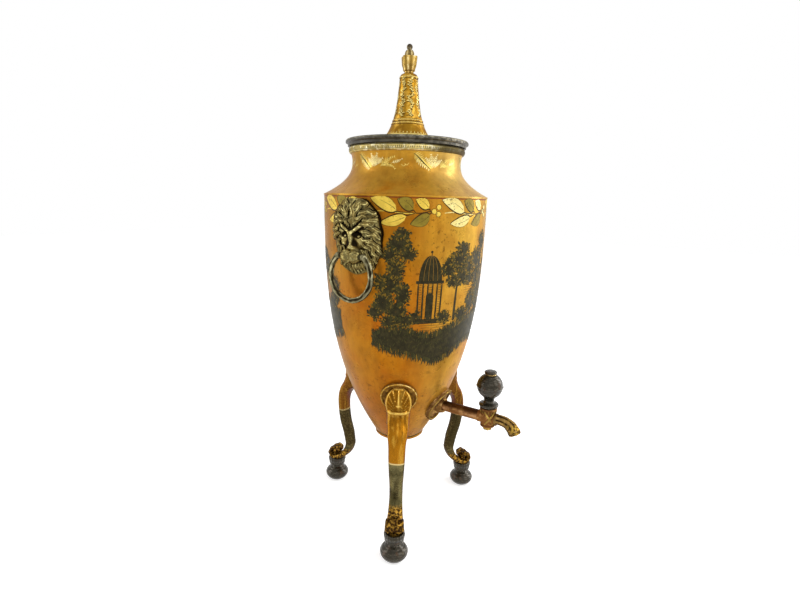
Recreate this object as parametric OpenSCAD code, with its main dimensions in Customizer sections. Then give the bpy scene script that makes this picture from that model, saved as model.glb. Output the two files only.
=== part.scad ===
// Tea urn: a japanned tin vase on three cast legs, with lion mask ring handles,
// a plug cock, a lift-off lid with a tall finial and a heating bar in an inner tube.
// The floor is z = 0 under the vase's axis. The tap points to -Y and the handles to +X and -X.

/* [Body] */
// Height of the body's lower edge above the floor
base_z = 92; // [88:1:96]
// Radius of the body's lower edge
base_r = 25.5; // [24:0.5:28]
// Height of the tapering body
body_h = 248; // [236:1:256]
// Radius of the body at its shoulder
body_r = 80; // [76:1:84]
// Fullness of the body's curve
body_fullness = 2.9; // [2.7:0.1:3.1]
// Thickness of the tinned sheet
sheet_t = 1.2; // [0.8:0.1:1.5]
// Height of the body's lower section, up to its seam
cone_h = 94; // [90:1:100]
// Thickness of the cap under the body
cap_t = 2; // [1.5:0.5:3]

/* [Shoulder and neck] */
// Height from the shoulder seam to the narrowest part of the neck
shoulder_rise = 31.5; // [28:0.5:35]
// Radius of the neck at its narrowest
waist_r = 52.8; // [50:0.2:56]
// Height from the narrowest part of the neck to its mouth
neck_rise = 14.5; // [13:0.5:18]
// Outer radius of the neck at its mouth
mouth_r = 54.2; // [53.6:0.2:57.6]
// Height of the folded seam at the shoulder
seam_h = 1.5; // [1:0.5:2.5]
// Thickness of the wired rim around the mouth
rim_t = 2.3; // [1.6:0.1:3]
// Height of the wired rim
rim_h = 6.5; // [5:0.5:8]

/* [Lid] */
// Radius of the lid's edge
lid_r = 59.5; // [58:0.5:63]
// Height of the lid's edge band
lid_band_h = 5.9; // [5:0.1:8]
// Rise of the lid from its edge to its middle
lid_rise = 3.5; // [2:0.5:6]
// Height of the collar that drops into the neck
bezel_h = 14; // [10:1:16]

/* [Finial] */
// Radius of the spire at its foot
spire_foot_r = 22.5; // [20:0.5:27]
// Height of the spire
spire_h = 58; // [50:1:66]
// Radius of the spire near its top
spire_top_r = 8.4; // [7.6:0.2:9.6]
// Radius of the cup on the spire
cup_r = 8.3; // [7.6:0.1:9.4]
// Height of the cup with its stem
cup_h = 15; // [13:0.5:17]
// Radius of the bud in the cup
bud_r = 4.4; // [4:0.1:4.8]
// Height of the bud above the cup's floor
bud_h = 13; // [11.5:0.5:15]
// Diameter of the rod that holds the finial together
rod_d = 3.6; // [3:0.2:4]

/* [Legs] */
// Height of the middle of the leg's head
leg_head_z = 151; // [147:1:155]
// Width of the leg's head
leg_head_w = 27; // [24:0.5:29]
// Width of the leg at its ankle
ankle_w = 13; // [11:0.5:15]
// Outer radius reached by the knee
knee_r = 82.2; // [80:0.2:85]
// Radius of the circle on which the feet stand
foot_circle_r = 88; // [86:0.5:92]
// Radius of the scroll at the end of the leg
scroll_r = 8.5; // [8:0.5:10]
// Width of the scroll
scroll_w = 19; // [17:0.5:21]
// Diameter of the plate behind the leg's head
leg_plate_d = 36; // [34:0.5:40]
// Thickness of that plate
leg_plate_t = 2.2; // [1.6:0.2:3]
// Height of the plate's raised rim
leg_plate_rim = 0.9; // [0.5:0.1:1.4]
// Diameter of the bolt that holds the leg
leg_bolt_d = 4; // [3.6:0.2:5]

/* [Feet] */
// Height of a turned foot
foot_h = 27; // [25:0.5:29]
// Diameter of the foot's ball
foot_d = 27; // [24:0.5:30]
// Diameter of the foot's collar
foot_collar_d = 18; // [16:0.5:20]
// Diameter of the foot's screw
foot_screw_d = 3.6; // [3:0.2:4.4]

/* [Tap] */
// Height of the tap's pipe
tap_z = 131; // [128:1:134]
// Diameter of the plate around the pipe
tap_flange_d = 37; // [34:1:42]
// Distance from the urn's axis to the tap's plug
tap_reach = 101; // [97:1:106]
// Outer diameter of the pipe
pipe_d = 10.6; // [9.6:0.2:11]
// Bore of the pipe
pipe_bore = 7; // [5.5:0.5:7.5]
// Height of the barrel around the plug
barrel_h = 19; // [18:0.5:21]
// Radius of the barrel at its top
barrel_r = 7.6; // [7.4:0.1:8.2]
// Radius of the plug at its top
plug_r = 4.6; // [4.2:0.1:4.9]
// Taper of the plug over its length
plug_taper = 1; // [0.6:0.1:1.2]
// Diameter of the waterway through the plug
port_d = 4.6; // [4:0.1:5]
// Radius of the spout
spout_r = 5.3; // [5:0.1:5.6]
// Length of the spout beyond the barrel
spout_out = 22; // [19:0.5:25]
// Drop of the spout's mouth below the pipe
spout_drop = 10.5; // [9:0.5:12]
// Diameter of the knob's ball
knob_d = 25; // [22:0.2:27]
// Diameter of the disc under the knob
knob_collar_d = 19; // [16:0.2:21]

/* [Handles] */
// Depth of the mask's middle below the shoulder seam
mask_drop = 35; // [34.5:0.5:41]
// Width of the mask
mask_w = 51; // [46:1:54]
// Height of the mask
mask_h = 67; // [62:1:68]
// Depth of the mane over the brow
mane_t = 9; // [8:0.2:10]
// Depth of the mane beside the ring
jaw_t = 3.6; // [3:0.1:4]
// Outer diameter of the ring
ring_d = 49; // [47:0.5:51]
// Thickness of the ring
ring_wire = 5.4; // [4.8:0.2:5.8]
// Distance of the ring's pin below the mask's middle
pin_drop = 16.5; // [16:0.5:18]
// Distance of the ring's pin from the body
pin_out = 9.6; // [9.4:0.2:10.6]

/* [Heating bar] */
// Outer radius of the tube that holds the bar
socket_r = 22; // [20:0.5:23]
// Depth of the tube's mouth below the shoulder seam
socket_drop = 10; // [6:1:20]
// Length of the iron bar without its eye
bar_l = 190; // [160:5:200]

/* [Fits] */
// Running clearance of the plug, all round
running_gap = 0.05; // [0.02:0.01:0.08]
// Clearance of a pin or bolt in its hole, all round
pin_gap = 0.08; // [0.04:0.01:0.1]
// Clearance between soldered or bolted pieces
seat_gap = 0.2; // [0.15:0.05:0.3]
// Clearance between the lid and the neck
lid_gap = 0.4; // [0.3:0.1:0.6]
// Clearance of the iron bar in its tube
bar_gap = 0.8; // [0.5:0.1:1.2]
// Least room between the bar's eye and the tube's cover
bar_headroom = 6; // [3:1:15]

/* [Hidden] */
$fn = 64;
leg_names = ["rear", "left", "right"];
leg_angles = [90, 210, 330];
leg_nodes = [for (n = leg_names) str("leg_", n)];
plate_nodes = [for (n = leg_names) str("leg_plate_", n)];
foot_nodes = [for (n = leg_names) str("foot_", n)];

japan = "#b9741c";
gilt = "#c9a13c";
bronze = "#6f5c33";
iron = "#4a4742";
ebony = "#3b352c";
copper = "#7d5531";
leather = "#8a6a45";

// Levels of the vase, from the floor up.
cone_z = base_z + cone_h;
shoulder_z = base_z + body_h;
waist_z = shoulder_z + shoulder_rise;
mouth_z = waist_z + neck_rise;
neck_flare_z = mouth_z - rim_h;
lid_z = mouth_z + 0.3;
lid_edge_z = lid_z + lid_band_h;
lid_top_z = lid_edge_z + lid_rise;
spire_top_z = lid_top_z + spire_h;
cup_top_z = spire_top_z + cup_h;
cup_floor_z = cup_top_z - 0.45 * cup_h;
bud_top_z = cup_floor_z + bud_h;

// The body's wall: its radius at a height, and how far it leans out there.
body_steps = 12;
function body_up(z) = min(max((z - base_z) / body_h, 0), 1);
function wall_r(z) = base_r + (body_r - base_r) * (1 - pow(1 - body_up(z), body_fullness));
function wall_slope(z) =
    (body_r - base_r) * body_fullness * pow(1 - body_up(z), body_fullness - 1) / body_h;
function wall_lean(z) = atan(wall_slope(z));
function wall_in_r(z) = wall_r(z) - sheet_t / cos(wall_lean(z));
function wall_line(out, z0, z1, n) =
    [for (i = [0:n]) let (z = z0 + (z1 - z0) * i / n) [wall_r(z) + out / cos(wall_lean(z)), z]];
function backwards(points) = [for (i = [len(points) - 1:-1:0]) points[i]];

// A smooth line through given rows, with `parts` steps from each row to the next.
function smooth(a, b, c, d, t) =
    (2 * b + t * (c - a) + t * t * (2 * a - 5 * b + 4 * c - d) + t * t * t * (3 * b - a - 3 * c + d)) / 2;
function smooth_rows(rows, parts) = [
    for (i = [0:len(rows) - 2]) for (k = [0:parts - 1])
        smooth(rows[max(i - 1, 0)], rows[i], rows[i + 1], rows[min(i + 2, len(rows) - 1)], k / parts),
    rows[len(rows) - 1]];
function bezier(a, b, c, d, t) =
    a * pow(1 - t, 3) + 3 * b * t * pow(1 - t, 2) + 3 * c * t * t * (1 - t) + d * pow(t, 3);
// A line moved square to itself, to the left of the way it runs.
function left_of(line, d) = [for (i = [0:len(line) - 1])
    let (step = line[min(i + 1, len(line) - 1)] - line[max(i - 1, 0)], along = step / norm(step))
    line[i] + d * [-along.y, along.x]];
// Half an ellipse beside the axis, as the section of a raised bead.
function bead(r, z, out, h) = [for (a = [-90:15:90]) [r + out * cos(a), z + h / 2 * sin(a)]];

module turned(points) { rotate_extrude() polygon(points); }

module bored(points, hole_d) {
    difference() {
        turned(points);
        translate([0, 0, -1]) cylinder(d = hole_d, h = 2 * cup_top_z);
    }
}

// The solid inside the body's outer face, moved out by `out`, between two heights.
module wall_solid(out, z0, z1) {
    turned(concat([[0, z0]], wall_line(out, z0, z1, 6), [[0, z1]]));
}

// A plate bent to the wall, cut by whatever shape is given.
module wall_plate(out0, out1, z0, z1) {
    intersection() {
        turned(concat(wall_line(out0, z0, z1, 6), backwards(wall_line(out1, z0, z1, 6))));
        children();
    }
}

// Places children on the wall with +Z pointing square out of it.
module on_wall(z, angle) {
    rotate([0, 0, angle]) translate([wall_r(z), 0, z]) rotate([0, 90 + wall_lean(z), 0]) children();
}

// A closed skin over rings of points that have the same count. A looped skin has no ends.
module skin(rings, looped = false) {
    n = len(rings[0]);
    last = len(rings) - 1;
    sides = [for (j = [0:looped ? last : last - 1]) for (i = [0:n - 1])
        let (k = (i + 1) % n, up = (j + 1) % (last + 1))
        each [[j * n + i, j * n + k, up * n + k], [j * n + i, up * n + k, up * n + i]]];
    ends = looped ? [] : [[for (i = [n - 1:-1:0]) i], [for (i = [0:n - 1]) last * n + i]];
    polyhedron([for (ring = rings) each ring], concat(sides, ends));
}

// ---- Vase ----

module leg_bolt_hole(gap) {
    cylinder(d = leg_bolt_d + 2 * gap, h = 60, center = true);
}

// The body's sheet wall between two heights.
module wall_sheet(z0, z1) {
    outer = wall_line(0, z0, z1, body_steps);
    turned(concat(outer, backwards([for (p = outer) [wall_in_r(p.y), p.y]])));
}

module body_cone() {
    color(japan) difference() {
        wall_sheet(base_z, cone_z);
        for (a = leg_angles) on_wall(leg_head_z, a) leg_bolt_hole(pin_gap);
        tap_frame() pipe_hole(pipe_d / 2 + pin_gap);
    }
}

module body_shell() {
    color(japan) difference() {
        wall_sheet(cone_z, shoulder_z);
        for (side = [-1, 1]) mask_stud_places(side)
            cylinder(d = stud_d + 2 * pin_gap, h = 40, center = true);
    }
}

seam_out = 0.5;
seam_lip = 6;
function shoulder_at(z) =
    waist_r + (body_r - waist_r) * pow(1 - (z - shoulder_z - seam_h) / (shoulder_rise - seam_h), 2.2);
function neck_at(z) = waist_r + (mouth_r - waist_r) * pow((z - waist_z) / (neck_flare_z - waist_z), 2);

module shoulder_neck() {
    shoulder_steps = 10;
    neck_steps = 4;
    outer = concat(
        [for (i = [0:shoulder_steps - 1])
            let (z = shoulder_z + seam_h + (shoulder_rise - seam_h) * i / shoulder_steps) [shoulder_at(z), z]],
        [for (i = [0:neck_steps])
            let (z = waist_z + (neck_flare_z - waist_z) * i / neck_steps) [neck_at(z), z]],
        [[mouth_r, mouth_z]]);
    lip_r = wall_in_r(shoulder_z) - seat_gap;
    inner = [for (p = left_of(outer, sheet_t)) if (p.x < lip_r - sheet_t - 0.5) [p.x, min(p.y, mouth_z)]];
    color(japan) turned(concat(
        [[lip_r, shoulder_z], [body_r + seam_out, shoulder_z], [body_r + seam_out, shoulder_z + seam_h]],
        outer, backwards(inner),
        [[lip_r - sheet_t, shoulder_z - 0.5], [lip_r - sheet_t, shoulder_z - seam_lip],
         [lip_r, shoulder_z - seam_lip]]));
}

module neck_rim() {
    color(gilt) turned(bead(mouth_r + seat_gap, mouth_z - rim_h / 2, rim_t - seat_gap, rim_h));
}

cap_spigot_h = 2.5;
socket_z = base_z + cap_spigot_h;

module base_cap() {
    color(japan) union() {
        translate([0, 0, base_z - cap_t]) cylinder(r = base_r + seam_out, h = cap_t);
        translate([0, 0, base_z - cap_t / 2]) cylinder(r = wall_in_r(base_z) - seat_gap, h = cap_t / 2 + cap_spigot_h);
    }
}

// ---- Lid ----

lid_lip_r = mouth_r + rim_t + 0.9;
spire_seat_r = spire_foot_r + 1.5;
function lid_at(r) = lid_edge_z + lid_rise * pow(1 - (max(r, spire_seat_r) - spire_seat_r) / (lid_r - spire_seat_r), 1.4);

module lid_plate() {
    wired = 1.9;
    steps = 6;
    top = [for (i = [0:steps])
        let (r = spire_seat_r + (lid_r - wired / 2 - spire_seat_r) * i / steps) [r, lid_at(r)]];
    under_r = mouth_r - lid_gap;
    color(iron) bored(concat(
        [[0, lid_top_z]], top,
        [[lid_r, lid_edge_z - 0.6 * wired], [lid_r, lid_edge_z - 1.4 * wired],
         [lid_lip_r, lid_edge_z - 2 * wired], [lid_lip_r, lid_z], [under_r, lid_z],
         [under_r, lid_at(under_r) - sheet_t], [spire_seat_r, lid_top_z - sheet_t], [0, lid_top_z - sheet_t]]),
        rod_d + 2 * pin_gap);
}

module lid_bezel() {
    r = waist_r - sheet_t - lid_gap;
    top = lid_at(r) - sheet_t - seat_gap - 0.1;
    color(japan) translate([0, 0, top - bezel_h]) difference() {
        cylinder(r = r, h = bezel_h);
        translate([0, 0, -1]) cylinder(r = r - sheet_t, h = bezel_h + 2);
    }
}

// The spire flares like a trumpet: a straight taper with a quick spread near the foot.
function spire_at(up) = spire_top_r + (spire_foot_r - spire_top_r) * (0.36 * (1 - up) + 0.64 * pow(1 - up, 4));

module lid_spire() {
    steps = 14;
    cap_h = 2.6;
    side_h = spire_h - cap_h;
    side = [for (i = [0:steps]) [spire_at(i / steps), lid_top_z + side_h * i / steps]];
    inner = [for (p = backwards(side)) [p.x - sheet_t, p.y]];
    color(gilt) difference() {
        union() {
            turned(concat(side,
                [[spire_top_r - 0.9, spire_top_z - 0.9], [spire_top_r - 2.6, spire_top_z], [0, spire_top_z],
                 [0, spire_top_z - 1.6]], inner));
            for (up = [0.42, 0.46, 0.5]) turned(bead(spire_at(up) - 0.3, lid_top_z + up * side_h, 1, 1.9));
            turned(bead(spire_top_r - 0.3, lid_top_z + side_h - 1, 0.8, 1.8));
        }
        translate([0, 0, lid_top_z]) cylinder(d = rod_d + 2 * pin_gap, h = spire_h + 1);
    }
}

module finial_cup() {
    stem_r = 4.4;
    wall = 1.1;
    color(gilt) bored([
        [0, spire_top_z], [stem_r + 0.6, spire_top_z], [stem_r, spire_top_z + 0.06 * cup_h],
        [stem_r, spire_top_z + 0.13 * cup_h], [stem_r + 1.1, spire_top_z + 0.18 * cup_h],
        [0.82 * cup_r, spire_top_z + 0.34 * cup_h], [0.93 * cup_r, spire_top_z + 0.5 * cup_h],
        [cup_r - 0.2, spire_top_z + 0.7 * cup_h], [cup_r - 0.4, cup_top_z - 1.6], [cup_r, cup_top_z - 0.6],
        [cup_r - 0.3, cup_top_z], [cup_r - wall, cup_top_z], [cup_r - 0.4 - wall, cup_top_z - 2],
        [cup_r - 0.6 - wall, cup_floor_z], [0, cup_floor_z]], rod_d + 2 * pin_gap);
}

module finial_bud() {
    color(bronze) bored([
        [0, cup_floor_z], [0.8 * bud_r, cup_floor_z], [0.72 * bud_r, cup_floor_z + 0.25 * bud_h],
        [0.95 * bud_r, cup_floor_z + 0.55 * bud_h], [bud_r, cup_floor_z + 0.75 * bud_h],
        [0.8 * bud_r, cup_floor_z + 0.93 * bud_h], [0.55 * bud_r, bud_top_z], [0, bud_top_z]],
        rod_d + 2 * pin_gap);
}

rod_head_r = 2.8;
rod_end_z = lid_top_z - sheet_t - 6;

module finial_rod() {
    color(iron) union() {
        translate([0, 0, rod_end_z]) cylinder(d = rod_d, h = bud_top_z + 1 - rod_end_z);
        turned(concat([[0, bud_top_z]],
            [for (a = [-60:20:90]) [rod_head_r * cos(a), bud_top_z + rod_head_r * (0.87 + sin(a))]]));
    }
}

module finial_nut() {
    nut_h = 3;
    color(iron) translate([0, 0, lid_top_z - sheet_t - seat_gap - nut_h]) difference() {
        cylinder(d = 2.2 * rod_d, h = nut_h, $fn = 6);
        translate([0, 0, -1]) cylinder(d = rod_d + 2 * pin_gap, h = nut_h + 2);
    }
}

// ---- Legs and feet ----

leg_seat = leg_plate_t + 2 * seat_gap;
scroll_z = foot_h + scroll_r + 0.6;
ankle_r = foot_circle_r - 20.8;
ankle_z = foot_h + 26;
knee_z = (leg_head_z + ankle_z) / 2 + 3;
scroll_strip = 5.6;
ankle_t = 10;
leg_sides = 14;

// One ring of points around the leg: its middle as [radius, height], the way its thickness points,
// half its thickness and half its width. The ring is a rounded rectangle.
function leg_ring(middle, way, half_t, half_w) = [for (i = [0:leg_sides - 1])
    let (a = 360 * i / leg_sides,
         t = half_t * sign(cos(a)) * pow(abs(cos(a)), 0.8),
         w = half_w * sign(sin(a)) * pow(abs(sin(a)), 0.8))
    [middle.x + t * way.x, w, middle.y + t * way.y]];

// Rows down the leg's head, knee and shank: height, inner radius, outer radius and half width.
head_r = wall_r(leg_head_z);
leg_rows = [
    [leg_head_z + 15.6, head_r + 2, head_r + 7, 0.16 * leg_head_w],
    [leg_head_z + 13, head_r, head_r + 10.6, 0.34 * leg_head_w],
    [leg_head_z + 7, head_r - 3, head_r + 13.2, 0.47 * leg_head_w],
    [leg_head_z - 3, head_r - 6, head_r + 14, 0.5 * leg_head_w],
    [leg_head_z - 11, head_r - 9, head_r + 15, 0.44 * leg_head_w],
    [leg_head_z - 20, head_r - 6, knee_r - 8.6, 0.41 * leg_head_w],
    [leg_head_z - 29, knee_r - 19.4, knee_r - 3.4, 0.37 * leg_head_w],
    [knee_z + 6, knee_r - 12, knee_r - 0.2, 0.31 * leg_head_w],
    [knee_z - 8, knee_r - 0.2 - 1.05 * ankle_t, knee_r - 0.2, 0.61 * ankle_w],
    [ankle_z + 28, ankle_r + 12.8 - 1.1 * ankle_t, ankle_r + 12.8, 0.56 * ankle_w],
    [ankle_z + 14, ankle_r + 8.6 - 1.15 * ankle_t, ankle_r + 8.6, 0.51 * ankle_w],
    [ankle_z, ankle_r - ankle_t / 2, ankle_r + ankle_t / 2, 0.5 * ankle_w]];

// The path from the ankle under the scroll, and around it.
scroll_path_r = scroll_r - scroll_strip / 2;
function ankle_path(t) = bezier(
    [ankle_r, ankle_z], [ankle_r, ankle_z - 8], [foot_circle_r - 11, scroll_z - scroll_path_r],
    [foot_circle_r, scroll_z - scroll_path_r], t);
function scroll_path(t) =
    let (a = -90 + 285 * t, r = scroll_path_r * (1 - 0.56 * pow(t, 1.5)))
    [foot_circle_r + r * cos(a), scroll_z + r * sin(a)];
function across(path_a, path_b) =
    let (step = path_b - path_a, along = step / norm(step)) [-along.y, along.x];

module leg_cast() {
    ankle_steps = 6;
    scroll_steps = 12;
    e = 0.01;
    rings = concat(
        [for (row = smooth_rows(leg_rows, 2))
            leg_ring([(row[1] + row[2]) / 2, row[0]], [1, 0], (row[2] - row[1]) / 2, row[3])],
        [for (i = [1:ankle_steps]) let (t = i / ankle_steps)
            leg_ring(ankle_path(t), across(ankle_path(t - e), ankle_path(t)),
                (ankle_t + (scroll_strip - ankle_t) * t) / 2, (ankle_w + (scroll_w - ankle_w) * t * t) / 2)],
        [for (i = [1:scroll_steps]) let (t = i / scroll_steps)
            leg_ring(scroll_path(t), across(scroll_path(t - e), scroll_path(t)),
                (scroll_strip - 2.2 * t) / 2, scroll_w / 2 * (1 - 0.12 * t))]);
    difference() {
        union() {
            skin(rings);
            translate([foot_circle_r, 0, foot_h]) cylinder(d = 13, h = 3.6);
        }
        wall_solid(leg_seat, leg_head_z - 36, leg_head_z + 24);
        leg_plate_ring(leg_plate_t - 1, leg_seat + leg_plate_rim, seat_gap);
        on_wall(leg_head_z, 0) translate([0, 0, leg_seat - 1]) cylinder(d = leg_bolt_d + 2 * pin_gap, h = 9);
        translate([foot_circle_r, 0, foot_h - 1]) cylinder(d = foot_screw_d + 2 * pin_gap, h = 5.6);
    }
}

module leg(i) { color(gilt) rotate([0, 0, leg_angles[i]]) leg_cast(); }

leg_plate_z0 = leg_head_z - leg_plate_d / 2 - 4;
leg_plate_z1 = leg_head_z + leg_plate_d / 2 + 4;

// The raised rim of the plate behind a leg, between two depths from the wall.
module leg_plate_ring(out0, out1, gap) {
    rim_w = 2;
    wall_plate(out0, out1, leg_plate_z0, leg_plate_z1) on_wall(leg_head_z, 0) difference() {
        cylinder(d = leg_plate_d + 2 * gap, h = 30, center = true);
        cylinder(d = leg_plate_d - 2 * rim_w - 2 * gap, h = 32, center = true);
    }
}

module leg_plate(i) {
    color(gilt) rotate([0, 0, leg_angles[i]]) difference() {
        union() {
            wall_plate(seat_gap, seat_gap + leg_plate_t, leg_plate_z0, leg_plate_z1)
                on_wall(leg_head_z, 0) cylinder(d = leg_plate_d, h = 30, center = true);
            leg_plate_ring(seat_gap, seat_gap + leg_plate_t + leg_plate_rim, 0);
        }
        on_wall(leg_head_z, 0) leg_bolt_hole(pin_gap);
    }
}

module leg_bolts() {
    head_t = 2;
    head_z = -sheet_t - 2 * seat_gap - head_t;
    color(iron) for (a = leg_angles) on_wall(leg_head_z, a) union() {
        translate([0, 0, head_z]) cylinder(d = leg_bolt_d, h = leg_seat + 7 - head_z);
        translate([0, 0, head_z]) cylinder(d = 2.2 * leg_bolt_d, h = head_t);
    }
}

foot_sink = 3.5;
// The foot's ball up to its neck: shares of its radius and of its height.
foot_rows = [[0.58, 0.03], [0.78, 0.1], [0.92, 0.2], [0.985, 0.29], [1, 0.36], [0.975, 0.42], [0.88, 0.5],
    [0.7, 0.585], [0.52, 0.655], [0.42, 0.715], [0.41, 0.765]];

module foot(i) {
    collar_r = foot_collar_d / 2;
    color(ebony) rotate([0, 0, leg_angles[i]]) translate([foot_circle_r, 0, 0]) difference() {
        turned(concat([[0, 0], [0.22 * foot_d, 0]],
            [for (row = foot_rows) [row[0] * foot_d / 2, row[1] * foot_h]],
            [[collar_r - 1, 0.81 * foot_h], [collar_r, 0.85 * foot_h], [collar_r - 0.1, 0.89 * foot_h],
             [collar_r - 0.9, 0.93 * foot_h], [collar_r - 0.7, foot_h - 0.8], [collar_r - 1.4, foot_h],
             [0, foot_h]]));
        translate([0, 0, -1]) cylinder(d = foot_screw_d + 2 * pin_gap, h = foot_h + 2);
        translate([0, 0, -1]) cylinder(d = 2.1 * foot_screw_d, h = foot_sink + 1);
    }
}

module foot_screws() {
    head_h = 2;
    color(iron) for (a = leg_angles) rotate([0, 0, a]) translate([foot_circle_r, 0, foot_sink - head_h - 0.1]) union() {
        cylinder(d = foot_screw_d, h = foot_h + 4 - foot_sink + head_h);
        cylinder(d = 1.9 * foot_screw_d, h = head_h);
    }
}

// ---- Tap ----

// Turns the tap's own frame, with +X along the pipe, to face -Y at the pipe's height.
module tap_frame() { translate([0, 0, tap_z]) rotate([0, 0, -90]) children(); }

module pipe_hole(r) { rotate([0, 90, 0]) cylinder(r = r, h = tap_reach); }

tap_wall = wall_r(tap_z);
barrel_top = 11;
barrel_low = barrel_top - barrel_h;
pipe_end = tap_reach - 5.6;
spout_start = tap_reach + 7.6;
stem_r = 2.2;
tail_r = 1.9;
washer_t = 1.1;
nut_t = 2.2;

module tap_flange() {
    z0 = tap_z - tap_flange_d / 2 - 4;
    z1 = tap_z + tap_flange_d / 2 + 4;
    plate_t = 2.2;
    boss_l = 7;
    color(gilt) difference() {
        union() {
            wall_plate(seat_gap, seat_gap + plate_t, z0, z1)
                on_wall(tap_z, -90) cylinder(d = tap_flange_d, h = 34, center = true);
            wall_plate(seat_gap, seat_gap + plate_t + 1.2, z0, z1) on_wall(tap_z, -90) difference() {
                cylinder(d = tap_flange_d, h = 34, center = true);
                cylinder(d = tap_flange_d - 5, h = 36, center = true);
            }
            tap_frame() translate([tap_wall - 2, 0, 0]) rotate([0, 90, 0])
                cylinder(r1 = pipe_d / 2 + 4.6, r2 = pipe_d / 2 + 1.8, h = boss_l + 2);
        }
        wall_solid(seat_gap, z0, z1);
        tap_frame() pipe_hole(pipe_d / 2 + pin_gap);
    }
}

backnut_x = wall_in_r(tap_z) - 13;
backnut_t = 4;

module tap_pipe() {
    start = backnut_x - 2;
    color(copper) tap_frame() translate([start, 0, 0]) rotate([0, 90, 0]) difference() {
        cylinder(d = pipe_d, h = pipe_end - start);
        translate([0, 0, -1]) cylinder(d = pipe_bore, h = pipe_end - start + 2);
    }
}

// The washer inside the body is a wedge: flat to the nut and bent to the leaning wall.
module tap_washer() {
    color(leather) difference() {
        intersection() {
            tap_frame() translate([backnut_x + backnut_t, 0, 0]) rotate([0, 90, 0]) cylinder(d = pipe_d + 9, h = 20);
            wall_solid(-sheet_t - seat_gap, tap_z - 14, tap_z + 14);
        }
        tap_frame() pipe_hole(pipe_d / 2 + pin_gap);
    }
}

module tap_backnut() {
    color(gilt) tap_frame() translate([backnut_x, 0, 0]) rotate([0, 90, 0]) difference() {
        cylinder(d = pipe_d + 8, h = backnut_t, $fn = 6);
        translate([0, 0, -1]) cylinder(d = pipe_d + 2 * pin_gap, h = backnut_t + 2);
    }
}

// The plug's cone, made larger all round by `gap`, from the barrel's bottom to its top.
module plug_cone(gap, extra) {
    slope = plug_taper / barrel_h;
    translate([0, 0, barrel_low - extra]) cylinder(
        r1 = plug_r - plug_taper - slope * extra + gap, r2 = plug_r + slope * extra + gap, h = barrel_h + 2 * extra);
}

module tap_barrel() {
    color(copper) tap_frame() difference() {
        union() {
            translate([tap_reach, 0, barrel_low]) cylinder(r1 = barrel_r - 1.2, r2 = barrel_r, h = barrel_h);
            translate([tap_reach, 0, barrel_top - 1.8]) cylinder(r = barrel_r + 0.7, h = 1.8);
            translate([tap_reach, 0, barrel_low]) cylinder(r = barrel_r - 0.6, h = 1.4);
            translate([pipe_end - 4, 0, 0]) rotate([0, 90, 0]) cylinder(r = pipe_d / 2 + 0.7, h = 8);
            translate([tap_reach + 3, 0, 0]) rotate([0, 90, 0]) cylinder(r = spout_r + 0.4, h = 4.6);
        }
        translate([tap_reach, 0, 0]) plug_cone(running_gap, 1);
        translate([pipe_end - 5, 0, 0]) rotate([0, 90, 0]) cylinder(r = pipe_d / 2 + pin_gap, h = 5 + seat_gap);
        translate([pipe_end - 1, 0, 0]) rotate([0, 90, 0]) cylinder(d = port_d, h = 20);
    }
}

spout_steps = 12;
spout_sides = 20;
function spout_path(t) = bezier([spout_start + 1.4, 0.5], [spout_start + 0.45 * spout_out, 1.4],
    [spout_start + 0.72 * spout_out, -0.05 * spout_drop], [spout_start + spout_out, -spout_drop], t);
function spout_ring(t, r) =
    let (p = spout_path(t), way = across(spout_path(t - 0.01), spout_path(t + 0.01)))
    [for (i = [0:spout_sides - 1]) let (a = 360 * i / spout_sides)
        [p.x + r * cos(a) * way.x, r * sin(a), p.y + r * cos(a) * way.y]];
// The spout thickens over its bend and closes in at the mouth.
function spout_r_at(t) = spout_r * (1 + 0.06 * sin(180 * t) - 0.16 * pow(t, 4));

module tap_spout() {
    outer = [for (i = [0:spout_steps]) let (t = i / spout_steps) spout_ring(t, spout_r_at(t))];
    inner = [for (i = [spout_steps:-1:0]) let (t = i / spout_steps) spout_ring(t, port_d / 2 + 0.5 * t)];
    color(copper) tap_frame() difference() {
        union() {
            skin(concat(outer, inner), looped = true);
            translate([spout_start, 0, 0]) rotate([0, 90, 0]) cylinder(r = spout_r + 0.8, h = 2);
        }
        translate([spout_start - 1, 0, 0]) rotate([0, 90, 0]) cylinder(d = port_d, h = 3.8);
    }
}

module tap_plug() {
    stem_top = knob_top - 1.2;
    color(copper) tap_frame() translate([tap_reach, 0, 0]) difference() {
        union() {
            plug_cone(0, 0);
            translate([0, 0, barrel_top - 1]) cylinder(r = stem_r, h = stem_top - barrel_top + 1);
            translate([0, 0, barrel_low - washer_t - nut_t - 1.2]) cylinder(r = tail_r, h = washer_t + nut_t + 4);
        }
        rotate([90, 0, 0]) cylinder(d = port_d, h = 3 * plug_r, center = true);
    }
}

module plug_washer() {
    color(gilt) tap_frame() translate([tap_reach, 0, barrel_low - washer_t - seat_gap]) difference() {
        cylinder(r = barrel_r - 2.2, h = washer_t);
        translate([0, 0, -1]) cylinder(r = tail_r + pin_gap, h = washer_t + 2);
    }
}

module plug_nut() {
    color(gilt) tap_frame() translate([tap_reach, 0, barrel_low - washer_t - nut_t - 2 * seat_gap]) difference() {
        cylinder(r = barrel_r - 3.2, h = nut_t, $fn = 6);
        translate([0, 0, -1]) cylinder(r = tail_r + pin_gap, h = nut_t + 2);
    }
}

// Levels of the knob above the pipe.
collar_low = barrel_top + 0.4;
collar_top = collar_low + 7;
ball_z = collar_top + 2.2 + knob_d / 2;
ball_top = ball_z + 0.44 * knob_d;
button_low = ball_top + 1.6;
knob_top = button_low + 3;

module on_stem(points) {
    color(ebony) tap_frame() translate([tap_reach, 0, 0]) difference() {
        turned(points);
        translate([0, 0, barrel_top - 5]) cylinder(r = stem_r + pin_gap, h = knob_top - 1 - barrel_top + 5);
    }
}

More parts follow.
